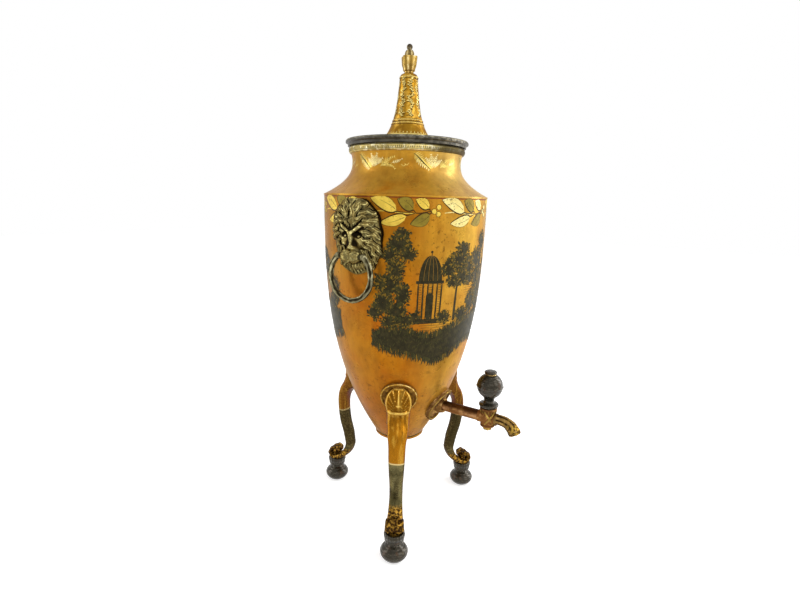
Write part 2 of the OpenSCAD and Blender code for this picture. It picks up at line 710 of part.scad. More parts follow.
module knob_collar() {
    r = knob_collar_d / 2;
    on_stem([[0, collar_low], [r - 1.8, collar_low], [r - 0.3, collar_low + 1.5], [r, collar_low + 2.6],
        [r - 0.5, collar_low + 3.7], [r - 2, collar_low + 4.5], [0.55 * r, collar_low + 5.4],
        [0.5 * r, collar_top], [0, collar_top]]);
}

module tap_knob() {
    ball_r = knob_d / 2;
    ridge = 0.6;
    ball = [for (a = [-62:10:-12]) [ball_r * cos(a), ball_z + ball_r * sin(a)]];
    on_stem(concat(
        [[0, collar_top + seat_gap], [0.5 * knob_collar_d / 2, collar_top + seat_gap]], ball,
        [[ball_r - 0.1, ball_z - 1.4], [ball_r + ridge, ball_z - 0.6], [ball_r + ridge, ball_z + 0.6],
         [ball_r - 0.1, ball_z + 1.4]],
        [for (p = backwards(ball)) [p.x, 2 * ball_z - p.y]], [[0, ball_top]]));
}

module knob_ferrule() {
    on_stem([[0, ball_top + 0.1], [0.2 * knob_d, ball_top + 0.1], [0.22 * knob_d, ball_top + 0.8],
        [0.2 * knob_d, button_low - 0.1], [0, button_low - 0.1]]);
}

module knob_button() {
    r = 0.245 * knob_d;
    on_stem([[0, button_low], [r - 0.6, button_low], [r, button_low + 0.7], [r, button_low + 1.3],
        [r - 0.8, button_low + 2.2], [0.5 * r, knob_top - 0.2], [0, knob_top]]);
}

// ---- Masks and rings ----

mask_z = shoulder_z - mask_drop;
pin_z = mask_z - pin_drop;
pin_x = wall_r(pin_z) + pin_out;
stud_d = 4;
mask_around = 44;
mask_rings = 9;

// The mask's outline is an oval with tufts, and its relief is a mane, brow, nose, cheeks and muzzle.
function mask_edge(a) =
    (1 - 0.035 * (1 + cos(11 * a + 90)) / 2)
    / pow(pow(abs(cos(a)) / (mask_w / 2), 2.3) + pow(abs(sin(a)) / (mask_h / 2), 2.3), 1 / 2.3);
function ease(t) = let (u = min(max(t, 0), 1)) u * u * (3 - 2 * u);
function bump(x, y, cx, cy, w, h) = exp(-pow((x - cx) / w, 2) - pow((y - cy) / h, 2));
function mask_relief(x, y, a, out) =
    let (side = abs(x))
    (jaw_t + (mane_t - jaw_t) * ease((y + 12) / 14)) * (1 - 0.25 * pow(out, 6))
    + 0.9 * cos(11 * a + 90) * bump(out, 0, 0.8, 0, 0.14, 1) * ease((y + 12) / 14)
    + 2.6 * bump(side, y, 7, 9, 5, 4)
    + 3 * bump(x, y, 0, 0, 4, 9)
    - 3 * bump(side, y, 8, 3, 3, 2.6)
    + 5 * bump(x, y, 0, -pin_drop + 2, 6, 7)
    + 4 * bump(x, y, 0, -pin_drop - 9, 5, 4);

// A point of the mask, `relief` out from the wall, on a mask at +X.
function mask_point(x, y, relief) =
    let (z = mask_z + y) [sqrt(pow(wall_r(z), 2) - x * x) + seat_gap + relief, x, z];

function mask_disc(front) = [for (j = [0:mask_rings]) [for (i = [0:mask_around - 1])
    let (out = max(j, 0.06) / mask_rings, a = 360 * i / mask_around,
         x = mask_edge(a) * out * cos(a), y = mask_edge(a) * out * sin(a))
    mask_point(x, y, front ? mask_relief(x, y, a, out) : 0)]];

module mask(side) {
    muzzle_r = 6.6;
    muzzle_w = 2 * (arm_y - knuckle_d / 2 - 0.6);
    color(bronze) rotate([0, 0, side > 0 ? 0 : 180]) difference() {
        union() {
            skin(concat(mask_disc(true), backwards(mask_disc(false))));
            translate([pin_x, 0, pin_z]) rotate([90, 0, 0]) turned(concat([[0, -muzzle_w / 2]],
                [for (a = [-60:20:60]) [muzzle_r * cos(a / 1.4), muzzle_w / 2 * sin(a) / sin(60)]],
                [[0, muzzle_w / 2]]));
        }
        translate([pin_x, 0, pin_z]) rotate([90, 0, 0])
            cylinder(d = pin_d + 2 * pin_gap, h = mask_w, center = true);
        for (y = stud_heights) translate([wall_r(mask_z + y) - 5, 0, mask_z + y]) rotate([0, 90, 0])
            cylinder(d = stud_d + 2 * pin_gap, h = 5 + stud_depth + 0.5);
    }
}

stud_heights = [16, -6];
stud_depth = 4.4;

// Places children at each stud of a mask, with +Z pointing out through the wall from its outer face.
module mask_stud_places(side) {
    for (y = stud_heights) rotate([0, 0, side > 0 ? 0 : 180])
        translate([wall_r(mask_z + y), 0, mask_z + y]) rotate([0, 90, 0]) children();
}

stud_nut_h = 3;

module mask_studs() {
    inner = sheet_t + 2 * seat_gap + stud_nut_h + 0.8;
    color(iron) for (side = [-1, 1]) mask_stud_places(side)
        translate([0, 0, -inner]) cylinder(d = stud_d, h = inner + stud_depth);
}

module mask_nuts() {
    color(iron) for (side = [-1, 1]) mask_stud_places(side)
        translate([0, 0, -sheet_t - 2 * seat_gap - stud_nut_h]) difference() {
            cylinder(d = 2 * stud_d, h = stud_nut_h, $fn = 6);
            translate([0, 0, -1]) cylinder(d = stud_d + 2 * pin_gap, h = stud_nut_h + 2);
        }
}

// The ring is open at the top, where a straight pin through the muzzle joins its two arms.
ring_r = (ring_d - ring_wire) / 2;
pin_d = ring_wire - 0.6;
ring_open = 38;
ring_z = pin_z - ring_r * cos(ring_open);

arm_y = ring_r * sin(ring_open);
knuckle_d = ring_wire + 0.5;

module ring(side) {
    color(bronze) translate([side * pin_x, 0, 0]) union() {
        translate([0, 0, ring_z]) rotate([0, 90, 0]) rotate([0, 0, 180 + ring_open])
            rotate_extrude(angle = 360 - 2 * ring_open) translate([ring_r, 0]) circle(d = ring_wire);
        translate([0, 0, pin_z]) rotate([90, 0, 0]) cylinder(d = pin_d, h = 2 * arm_y, center = true);
        for (y = [-arm_y, arm_y]) translate([0, y, pin_z]) sphere(d = knuckle_d);
    }
}

// ---- Heating bar ----

socket_floor = socket_z + 2;
socket_in = socket_r - sheet_t;
bar_r = socket_in - bar_gap;
bar_top = socket_floor + seat_gap + bar_l;
bar_neck_h = 5;
bar_eye_r = 7;
bar_eye_wire = 4.4;
bar_eye_top = bar_top + bar_neck_h + 2 * bar_eye_r + bar_eye_wire / 2;
cover_r = socket_r + 3;
cover_lip_h = 4;
// The tube ends below the shoulder, or higher where a long bar needs the room.
socket_top = max(shoulder_z - socket_drop, bar_eye_top + bar_headroom + cover_lip_h);

module heater_socket() {
    color(copper) difference() {
        union() {
            translate([0, 0, socket_z]) cylinder(r = socket_r, h = socket_top - socket_z);
            translate([0, 0, socket_top - 2]) cylinder(r = cover_r, h = 2);
        }
        translate([0, 0, socket_floor]) cylinder(r = socket_in, h = socket_top);
    }
}

module heater_bar() {
    chamfer = 2;
    color(iron) union() {
        turned([[0, bar_top - bar_l], [bar_r - chamfer, bar_top - bar_l], [bar_r, bar_top - bar_l + chamfer],
            [bar_r, bar_top - chamfer], [bar_r - chamfer, bar_top], [0, bar_top]]);
        translate([0, 0, bar_top - 1]) cylinder(d = 7, h = bar_neck_h + 1);
        translate([0, 0, bar_top + bar_neck_h + bar_eye_r]) rotate([90, 0, 0])
            rotate_extrude() translate([bar_eye_r, 0]) circle(d = bar_eye_wire);
    }
}

module heater_cover() {
    loop_r = 7;
    wire = 2.6;
    plate_t = 1.6;
    color(copper) union() {
        translate([0, 0, socket_top + seat_gap]) cylinder(r = cover_r, h = plate_t);
        translate([0, 0, socket_top - cover_lip_h]) cylinder(r = bar_r, h = cover_lip_h + seat_gap + 0.5);
        translate([0, 0, socket_top + seat_gap + plate_t - 0.6]) rotate([90, 0, 0])
            rotate_extrude(angle = 180) translate([loop_r, 0]) circle(d = wire);
    }
}

body_cone();
body_shell();
shoulder_neck();
neck_rim();
base_cap();
heater_socket();
for (i = [0:2]) {
    leg(i);
    leg_plate(i);
    foot(i);
}
leg_bolts();
foot_screws();
tap_flange();
tap_pipe();
tap_washer();
tap_backnut();
tap_barrel();
tap_spout();
tap_plug();
plug_washer();
plug_nut();
knob_collar();
tap_knob();
knob_ferrule();
knob_button();
mask(-1);  // mask_left
mask(1);  // mask_right
mask_studs();
mask_nuts();
ring(-1);  // ring_left
ring(1);  // ring_right
lid_plate();
lid_bezel();
lid_spire();
finial_cup();
finial_bud();
finial_rod();
finial_nut();
heater_bar();
heater_cover();
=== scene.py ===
"""A japanned tin tea urn: the finish and fine modelling of its pieces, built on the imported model."""

import math
import random

import bpy
from bpy.props import FloatProperty, FloatVectorProperty, IntProperty, PointerProperty
from bpy.types import Operator, Panel, PropertyGroup
from mathutils import Matrix, Vector, noise


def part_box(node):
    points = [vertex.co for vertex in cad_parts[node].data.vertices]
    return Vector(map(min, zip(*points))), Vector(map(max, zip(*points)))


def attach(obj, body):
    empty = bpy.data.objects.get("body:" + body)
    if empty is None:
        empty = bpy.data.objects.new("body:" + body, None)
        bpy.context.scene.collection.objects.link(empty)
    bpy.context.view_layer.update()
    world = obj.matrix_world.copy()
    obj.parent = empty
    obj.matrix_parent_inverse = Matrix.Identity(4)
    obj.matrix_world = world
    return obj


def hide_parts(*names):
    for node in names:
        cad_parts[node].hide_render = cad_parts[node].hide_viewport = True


bl_info = {
    "name": "Tea Urn",
    "version": (1, 0, 0),
    "blender": (4, 5, 0),
    "location": "View3D > Sidebar > Tea Urn",
    "description": "Builds a japanned tin tea urn with painted and gilt decoration",
    "category": "Add Mesh",
}

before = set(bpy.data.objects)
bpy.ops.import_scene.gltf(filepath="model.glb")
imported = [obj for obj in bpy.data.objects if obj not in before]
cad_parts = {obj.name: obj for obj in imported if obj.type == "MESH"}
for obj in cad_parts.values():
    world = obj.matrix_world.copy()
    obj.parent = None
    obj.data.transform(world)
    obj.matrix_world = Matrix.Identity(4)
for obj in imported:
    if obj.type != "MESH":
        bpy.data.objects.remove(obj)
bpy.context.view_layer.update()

MM = 0.001

# Seeds of the small random shifts that a hand makes, one for each painted piece
RIM_SEED, GARLAND_SEED, SPRAY_SEED, VINE_SEED = 5, 1810, 44, 11


def linear(colour):
    """An sRGB hex colour as linear red, green, blue and alpha. A colour of any other kind is linear already."""
    if not isinstance(colour, str):
        return colour
    channels = [int(colour[i:i + 2], 16) / 255 for i in (1, 3, 5)]
    return tuple(c / 12.92 if c <= 0.04045 else ((c + 0.055) / 1.055) ** 2.4 for c in channels) + (1.0,)


def box_mm(node):
    """The lowest and highest corners of a solid, in millimetres."""
    low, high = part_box(node)
    return low / MM, high / MM


# ---- Small sums ----

def angles(count, closed=False):
    """Angles at even steps around a circle, with the first place again at the end where it is closed."""
    return [2 * math.pi * i / count for i in range(count + closed)]


def polar(a):
    """The way that an angle points."""
    return Vector((math.cos(a), math.sin(a)))


def steps(count):
    """Shares from 0 to 1 in even steps."""
    return [i / count for i in range(count + 1)]


def clamp(value):
    """A value kept between 0 and 1."""
    return min(max(value, 0), 1)


def ease(t):
    """A soft start and end for a share that runs from 0 to 1."""
    t = clamp(t)
    return t * t * (3 - 2 * t)


def bell(x, y, cx, cy, width, height):
    """A round swelling, 1 at its centre."""
    return math.exp(-((x - cx) / width) ** 2 - ((y - cy) / height) ** 2)


def left_of(way):
    """The level way to the left of another."""
    return Vector((-way.y, way.x))


# ---- Levels and curves of the vase, in millimetres, read from the solids ----

SHELL_HIGH = box_mm("body_shell")[1]
NECK_HIGH = box_mm("shoulder_neck")[1]
RIM_LOW, RIM_HIGH = box_mm("neck_rim")
LID_LOW, LID_HIGH = box_mm("lid_plate")
SPIRE_LOW, SPIRE_HIGH = box_mm("lid_spire")
CUP_LOW, CUP_HIGH = box_mm("finial_cup")
BUD_LOW, BUD_HIGH = box_mm("finial_bud")

# Thickness of the sheet, the gap that seated pieces keep, and the height of the seam under the shoulder
SHEET_T = 1.2
SEAT_GAP = 0.2
SEAM_H = 1.5
BODY_R = SHELL_HIGH.x
SEAM_OUT = NECK_HIGH.x - BODY_R
BASE_R = box_mm("base_cap")[1].x - SEAM_OUT
BASE_Z = box_mm("body_cone")[0].z
SHOULDER_Z = SHELL_HIGH.z
BODY_H = SHOULDER_Z - BASE_Z
BODY_FULLNESS = 2.9
SEAM_TOP_Z = SHOULDER_Z + SEAM_H
MOUTH_Z = NECK_HIGH.z
RIM_Z = RIM_LOW.z
RIM_H = RIM_HIGH.z - RIM_Z
RIM_T = 2.3
MOUTH_R = RIM_HIGH.x - RIM_T
WAIST_Z = MOUTH_Z - 14.5
WAIST_R = 52.8
SHOULDER_CURVE = 2.2
SPIRE_TOP_R = 8.4
SPIRE_CAP_H = 2.6
SPIRE_SIDE_H = SPIRE_HIGH.z - SPIRE_CAP_H - SPIRE_LOW.z
# Heights of the rings that are turned into the spire, over its foot
SPIRE_RINGS = (12.8, 15.6, SPIRE_SIDE_H - 0.9)


def wall_radius(z):
    """Radius of the body's outer face at a height."""
    up = clamp((z - BASE_Z) / BODY_H)
    return BASE_R + (BODY_R - BASE_R) * (1 - (1 - up) ** BODY_FULLNESS)


def wall_lean(z):
    """The length of a level step out that moves a point 1 mm square out of the wall."""
    widening = wall_radius(z + 0.5) - wall_radius(z - 0.5) if z < SHOULDER_Z - 1 else 0.0
    return math.hypot(1, widening)


def neck_radius(z):
    """Radius of the shoulder and neck at a height."""
    if z <= WAIST_Z:
        up = max((z - SEAM_TOP_Z) / (WAIST_Z - SEAM_TOP_Z), 0)
        return WAIST_R + (BODY_R - WAIST_R) * (1 - up) ** SHOULDER_CURVE
    up = min((z - WAIST_Z) / (RIM_Z - WAIST_Z), 1)
    return WAIST_R + (MOUTH_R - WAIST_R) * up ** 2


def rim_radius(z):
    """Radius of the wired rim, half an ellipse in section."""
    up = min(max((z - RIM_Z) / RIM_H * 2 - 1, -1), 1)
    return MOUTH_R + SEAT_GAP + (RIM_T - SEAT_GAP) * math.sqrt(1 - up * up)


def spire_radius(z):
    """Radius of the lid's spire at a height, with the rings turned into it."""
    rise = z - SPIRE_LOW.z
    up = clamp(rise / SPIRE_SIDE_H)
    rings = sum(math.exp(-((rise - level) / 0.75) ** 2) for level in SPIRE_RINGS)
    return SPIRE_TOP_R + (SPIRE_HIGH.x - SPIRE_TOP_R) * (0.36 * (1 - up) + 0.64 * (1 - up) ** 4) + 0.5 * rings


# ---- Meshes ----

def put_in_scene(name, data):
    """Adds an object for some data to the scene."""
    made = bpy.data.objects.new(name, data)
    bpy.context.scene.collection.objects.link(made)
    return made


def piece(name, points, faces, body, materials, material_of=None, replaces=()):
    """Makes a mesh from points in millimetres and rides it on a body."""
    mesh = bpy.data.meshes.new(name)
    mesh.from_pydata([Vector(p) * MM for p in points], [], faces)
    for material in materials:
        mesh.materials.append(material)
    if material_of:
        mesh.polygons.foreach_set("material_index", material_of)
    mesh.polygons.foreach_set("use_smooth", [True] * len(mesh.polygons))
    mesh.update()
    made = put_in_scene(name, mesh)
    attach(made, body)
    if replaces:
        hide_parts(*replaces)
    return made


def sharpen(made, edge_angle=32.0):
    """Keeps the corners of a smooth mesh crisp."""
    split = made.modifiers.new("edges", "EDGE_SPLIT")
    split.split_angle = math.radians(edge_angle)


def finish_solids(material, *nodes):
    """Gives solids their material, with soft shading between nearly level faces."""
    for node in nodes:
        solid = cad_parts[node]
        solid.data.materials.clear()
        solid.data.materials.append(material)
        solid.data.polygons.foreach_set("use_smooth", [True] * len(solid.data.polygons))
        weld = solid.modifiers.new("weld", "WELD")
        weld.merge_threshold = 0.01 * MM
        sharpen(solid)


def grid_faces(rows, columns, closed_rows=False, closed_columns=False, start=0):
    """Faces of a grid of points that are numbered row by row."""
    faces = []
    for j in range(rows if closed_rows else rows - 1):
        for i in range(columns if closed_columns else columns - 1):
            a, b = j, (j + 1) % rows
            c, d = i, (i + 1) % columns
            faces.append(tuple(start + k for k in (
                a * columns + c, a * columns + d, b * columns + d, b * columns + c)))
    return faces


def end_faces(rows, columns):
    """The faces that close the first and the last row of a tube."""
    last = (rows - 1) * columns
    return [tuple(range(columns - 1, -1, -1)), tuple(range(last, last + columns))]


def turned(profile, sides, lobes=0, lobe_share=None):
    """Points and faces of a closed section turned about the Z axis. Lobes swell it by a share at each level."""
    points = []
    for radius, z in profile:
        for a in angles(sides):
            r = radius * (1 + lobe_share(z) * math.cos(lobes * a)) if lobes else radius
            points.append(Vector((r * math.cos(a), r * math.sin(a), z)))
    return points, grid_faces(len(profile), sides, closed_rows=True, closed_columns=True)


def moved(shape, offset):
    """A shape moved by an offset."""
    points, faces = shape
    return [p + Vector(offset) for p in points], faces


def sweep(path, section_at, up, closed=False):
    """Points and faces of a section carried along a path. The section's offsets are (beside, over) the path."""
    path = [Vector(p) for p in path]
    last = len(path) - 1
    points = []
    for i, middle in enumerate(path):
        before = path[i - 1] if closed or i > 0 else middle
        after = path[(i + 1) % len(path)] if closed or i < last else middle
        along = (after - before).normalized()
        side = along.cross(Vector(up)).normalized()
        over = side.cross(along)
        section = section_at(i / last)
        points += [middle + side * a + over * b for a, b in section]
    sides = len(section)
    faces = grid_faces(len(path), sides, closed_rows=closed, closed_columns=True)
    return points, faces if closed else faces + end_faces(len(path), sides)


def ridged(radius, sides, ridges=0, depth=0.0):
    """A round section, with ridges that stand out by their depth."""
    return [polar(a) * (radius - depth * (0.5 - 0.5 * math.cos(ridges * a))) for a in angles(sides)]


def ball(centre, radius, rings, sides):
    """A round bead as a turned section about an upright axis."""
    arc = [(radius * math.sin(math.pi * (k + 0.05) / (rings + 0.1)), -radius * math.cos(math.pi * k / rings))
           for k in range(rings + 1)]
    return moved(turned([(max(r, 0.02), z) for r, z in arc], sides), centre)


def smooth_rows(rows, parts):
    """A smooth line through rows of numbers, with some steps from each row to the next."""
    found = []
    for i in range(len(rows) - 1):
        a, b = rows[max(i - 1, 0)], rows[i]
        c, d = rows[i + 1], rows[min(i + 2, len(rows) - 1)]
        for t in steps(parts)[:-1]:
            found.append(tuple(
                (2 * q + t * (r - p) + t * t * (2 * p - 5 * q + 4 * r - s) + t ** 3 * (3 * q - p - 3 * r + s)) / 2
                for p, q, r, s in zip(a, b, c, d)))
    return found + [tuple(rows[-1])]


def curve_points(a, b, c, d, count):
    """Points along a Bezier curve."""
    a, b, c, d = (Vector(p) for p in (a, b, c, d))
    return [a * (1 - t) ** 3 + b * 3 * t * (1 - t) ** 2 + c * 3 * t * t * (1 - t) + d * t ** 3 for t in steps(count)]


class Casting:
    """Gathers the shapes of one metal piece. Each point also holds how deep it lies: 0 on a crest, 1 in a hollow, with
    painted shade added on the legs' sides and the mane's locks.
    """

    def __init__(self, shape=None, hollow=0.0):
        self.points = []
        self.faces = []
        self.hollow = []
        if shape:
            self.put(shape, hollow)

    def put(self, shape, hollow=0.0):
        """Adds a shape, with one hollow for all of it or one for each point."""
        points, faces = shape
        start = len(self.points)
        self.points += points
        self.faces += [tuple(start + i for i in face) for face in faces]
        self.hollow += hollow if hasattr(hollow, "__len__") else [hollow] * len(points)

    def turn(self, degrees):
        """Turns all that is gathered so far about the Z axis."""
        about = Matrix.Rotation(math.radians(degrees), 3, "Z")
        self.points = [about @ p for p in self.points]

    def make(self, name, body, slot, material, replaces=(), edge_angle=0.0):
        """Makes the piece, with sharp corners where an angle in degrees is given for them."""
        made = piece(name, self.points, self.faces, body, [material], replaces=replaces)
        made.data.attributes.new("hollow", "FLOAT", "POINT").data.foreach_set("value", self.hollow)
        if edge_angle:
            sharpen(made, edge_angle)


# ---- Painting on turned faces ----

class Paint:
    """Gathers thin painted shapes on a turned face. A shape's points are (distance around, height) in mm,
    and each layer of paint lies a film's thickness over the one below it."""

    FILM = 0.035
    # The share of a leaf's length at which it is widest, and the size of a patch's faces in mm
    WIDEST = 0.42
    FACE = 3.0

    def __init__(self, radius_at, around_r):
        self.radius_at = radius_at
        self.around_r = around_r
        self.around = 2 * math.pi * around_r
        self.points = []
        self.faces = []
        self.material_of = []

    def place(self, at, layer):
        """The point in space of a place on the face."""
        angle = at[0] / self.around_r
        radius = self.radius_at(at[1]) + self.FILM * (layer + 1)
        return Vector((radius * math.cos(angle), radius * math.sin(angle), at[1]))

    def grid(self, rows, layer, material):
        """Rows of places as one patch of paint."""
        start = len(self.points)
        self.points += [self.place(at, layer) for row in rows for at in row]
        faces = grid_faces(len(rows), len(rows[0]), start=start)
        self.faces += faces
        self.material_of += [material] * len(faces)

    def leaf(self, base, tip, half_w, bend, layer, material, length_steps=9, across=4):
        """A pointed leaf from its base to its tip. A positive bend bows it to its left."""
        base, tip = Vector(base), Vector(tip)
        along = tip - base
        left = left_of(along).normalized()
        rows = []
        for t in steps(length_steps):
            width = half_w * math.sin(math.pi * t ** (math.log(0.5) / math.log(self.WIDEST))) ** 0.8
            middle = base + along * t + left * bend * math.sin(math.pi * t)
            rows.append([middle + left * width * (2 * i / across - 1) for i in range(across + 1)])
        self.grid(rows, layer, material)

    def dab(self, base, tip, half_w, layer, material, bend=0.0):
        """One short stroke of a pointed brush."""
        self.leaf(base, tip, half_w, bend, layer, material, length_steps=4, across=2)

    def ribbon(self, line, widths, layer, material):
        """A brush line through points, as wide at each as its width says."""
        line = [Vector(p) for p in line]
        rows = []
        for i, point in enumerate(line):
            left = left_of(line[min(i + 1, len(line) - 1)] - line[max(i - 1, 0)]).normalized()
            width = widths[i] if hasattr(widths, "__len__") else widths
            rows.append([point - left * width / 2, point + left * width / 2])
        self.grid(rows, layer, material)

    def oval(self, centre, half_w, half_h, layer, material, share=1.0):
        """A filled oval, or the part of it above its middle for a share of a half."""
        centre = Vector(centre)
        rows = [[centre + Vector((math.cos(a) * half_w, math.sin(a) * half_h)) * k
                 for a in (2 * math.pi * share * t for t in steps(18))] for k in (0.02, 0.35, 0.7, 1)]
        self.grid(rows, layer, material)

    def ring(self, centre, radius, width, layer, material):
        """A round line."""
        self.grid([[Vector(centre) + polar(a) * r for a in angles(16, closed=True)]
                   for r in (radius - width / 2, radius + width / 2)], layer, material)

    def block(self, corners, layer, material):
        """A four-sided patch between its corners, which are given in turn."""
        a, b, c, d = (Vector(p) for p in corners)
        columns = max(1, math.ceil(max((b - a).length, (c - d).length) / self.FACE))
        rows = max(1, math.ceil(max((d - a).length, (c - b).length) / self.FACE))
        self.grid([[a.lerp(b, i).lerp(d.lerp(c, i), j) for i in steps(columns)] for j in steps(rows)],
                  layer, material)

    def band(self, low, high, layer, material, count=180):
        """A line all the way around, between two heights."""
        self.grid([[(self.around * i / count, z) for i in range(count + 1)] for z in (low, high)], layer, material)

    def make(self, name, body, slot, materials):
        """Makes the painted piece."""
        piece(name, self.points, self.faces, body, materials, self.material_of)


# ---- Materials ----

# The level way from the urn's middle to the tap's side, where the vase gets its painted sheen.
TAP_SIDE = (0.52, -0.85, 0)


def add(tree, kind, settings=None, inputs=None):
    """Adds a node. Settings are its properties, and inputs are sockets that feed it or plain values."""
    node = tree.nodes.new(kind)
    for key, value in (settings or {}).items():
        setattr(node, key, value)
    for key, value in (inputs or {}).items():
        if isinstance(value, bpy.types.NodeSocket):
            tree.links.new(value, node.inputs[key])
        else:
            node.inputs[key].default_value = value
    return node


def per_metre(size_mm):
    """A texture's scale, from the real size of one of its features."""
    return 1000.0 / size_mm


class Finish:
    """A material as it is laid on: a ground colour, then coats of other colours over it where masks let them
    show. A mask is a number at each place on the object, from least to most."""

    # A Mix node's sockets for the colour under, the colour over it and what they give
    UNDER, OVER, SHOWN = 6, 7, 2

    def __init__(self, name, ground, **values):
        self.material = bpy.data.materials.new(name)
        self.material.use_nodes = True
        self.tree = self.material.node_tree
        self.tree.nodes.clear()
        self.colour = linear(ground)
        self.shader = add(self.tree, "ShaderNodeBsdfPrincipled", inputs={
            key.replace("_", " ").title().replace("Ior", "IOR"): value for key, value in values.items()})
        self.shader.inputs["Base Color"].default_value = self.colour
        self.output = add(self.tree, "ShaderNodeOutputMaterial", inputs={"Surface": self.shader.outputs["BSDF"]})
        self.place = add(self.tree, "ShaderNodeTexCoord").outputs["Object"]

    def mottle(self, size_mm, low, high, detail=4.0, stretch=(1, 1, 1), shift=0.0, least=0.0):
        """Soft patches of a real size: least where the noise is under low, and 1 where it is over high."""
        laid = add(self.tree, "ShaderNodeMapping", inputs={
            "Vector": self.place, "Scale": stretch, "Location": (shift, shift * 0.7, -shift)})
        cloud = add(self.tree, "ShaderNodeTexNoise", inputs={
            "Vector": laid.outputs["Vector"], "Scale": per_metre(size_mm), "Detail": detail, "Roughness": 0.6})
        return add(self.tree, "ShaderNodeMapRange", inputs={
            "Value": cloud.outputs[0], "From Min": low, "From Max": high, "To Min": least}).outputs["Result"]

    def along(self, axis, low_mm, high_mm, least=0.0, most=1.0):
        """How far a point lies from one level to another along an axis."""
        reach = add(self.tree, "ShaderNodeVectorMath", {"operation": "DOT_PRODUCT"}, {0: self.place, 1: axis})
        return add(self.tree, "ShaderNodeMapRange", inputs={
            "Value": reach.outputs["Value"], "From Min": low_mm * MM, "From Max": high_mm * MM,
            "To Min": least, "To Max": most}).outputs["Result"]

    def above(self, z_mm, soft_mm=1.0, least=0.0, most=1.0):
        """Most above a height and least below it, with a soft step between them."""
        return self.along((0, 0, 1), z_mm - soft_mm / 2, z_mm + soft_mm / 2, least, most)

    def outward(self, low_mm, high_mm, least):
        """How far a point lies out from the urn's middle, from least at one radius to 1 at another."""
        level = add(self.tree, "ShaderNodeVectorMath", {"operation": "MULTIPLY"}, {0: self.place, 1: (1, 1, 0)})
        radius = add(self.tree, "ShaderNodeVectorMath", {"operation": "LENGTH"}, {0: level.outputs[0]})
        return add(self.tree, "ShaderNodeMapRange", inputs={
            "Value": radius.outputs["Value"], "From Min": low_mm * MM, "From Max": high_mm * MM,
            "To Min": least}).outputs["Result"]

    def facing(self, low, high):
        """How far the upright wall turns to the tap's side: 0 to 1 as the cosine between them runs from low to
        high."""
        level = add(self.tree, "ShaderNodeVectorMath", {"operation": "MULTIPLY"}, {0: self.place, 1: (1, 1, 0)})
        unit = add(self.tree, "ShaderNodeVectorMath", {"operation": "NORMALIZE"}, {0: level.outputs[0]})
        cosine = add(self.tree, "ShaderNodeVectorMath", {"operation": "DOT_PRODUCT"}, {
            0: unit.outputs[0], 1: TAP_SIDE})
        return add(self.tree, "ShaderNodeMapRange", inputs={
            "Value": cosine.outputs["Value"], "From Min": low, "From Max": high}).outputs["Result"]

    def hollow(self, low, high):
        """How deep a point of a casting lies, 0 to 1 from one depth to another."""
        depth = add(self.tree, "ShaderNodeAttribute", {"attribute_name": "hollow"})
        return add(self.tree, "ShaderNodeMapRange", inputs={
            "Value": depth.outputs["Fac"], "From Min": low, "From Max": high}).outputs["Result"]

    def overlap(self, *masks):
        """The masks as one, which shows only where each of them does. A plain number weakens it by that share."""
        shown, *others = masks
        for other in others:
            shown = add(self.tree, "ShaderNodeMath", {"operation": "MULTIPLY"}, {0: shown, 1: other}).outputs[0]
        return shown

    def coat(self, tone, *masks):
        """Lays one more colour over the rest, where the masks overlap."""
        mix = add(self.tree, "ShaderNodeMix", {"data_type": "RGBA"}, {
            "Factor": self.overlap(*masks), self.UNDER: self.colour, self.OVER: linear(tone)})
        self.colour = mix.outputs[self.SHOWN]
        self.tree.links.new(self.colour, self.shader.inputs["Base Color"])

    def new_ground(self, tone):
        """Starts again on another colour, and gives what the coats so far show, to be laid over it later."""
        shown, self.colour = self.colour, linear(tone)
        return shown

    def done(self, relief, height_mm, **runs):
        """Ends the material: a mask raises the surface by a height, and each of the shader's values that is given
        as a mask and two numbers runs from one to the other with that mask."""
        for value, (mask, least, most) in runs.items():
            run = add(self.tree, "ShaderNodeMapRange", inputs={"Value": mask, "To Min": least, "To Max": most})
            self.tree.links.new(run.outputs["Result"], self.shader.inputs[value.title()])
        raised = add(self.tree, "ShaderNodeBump", inputs={"Height": relief, "Distance": height_mm * MM})
        self.tree.links.new(raised.outputs["Normal"], self.shader.inputs["Normal"])
        return self.material


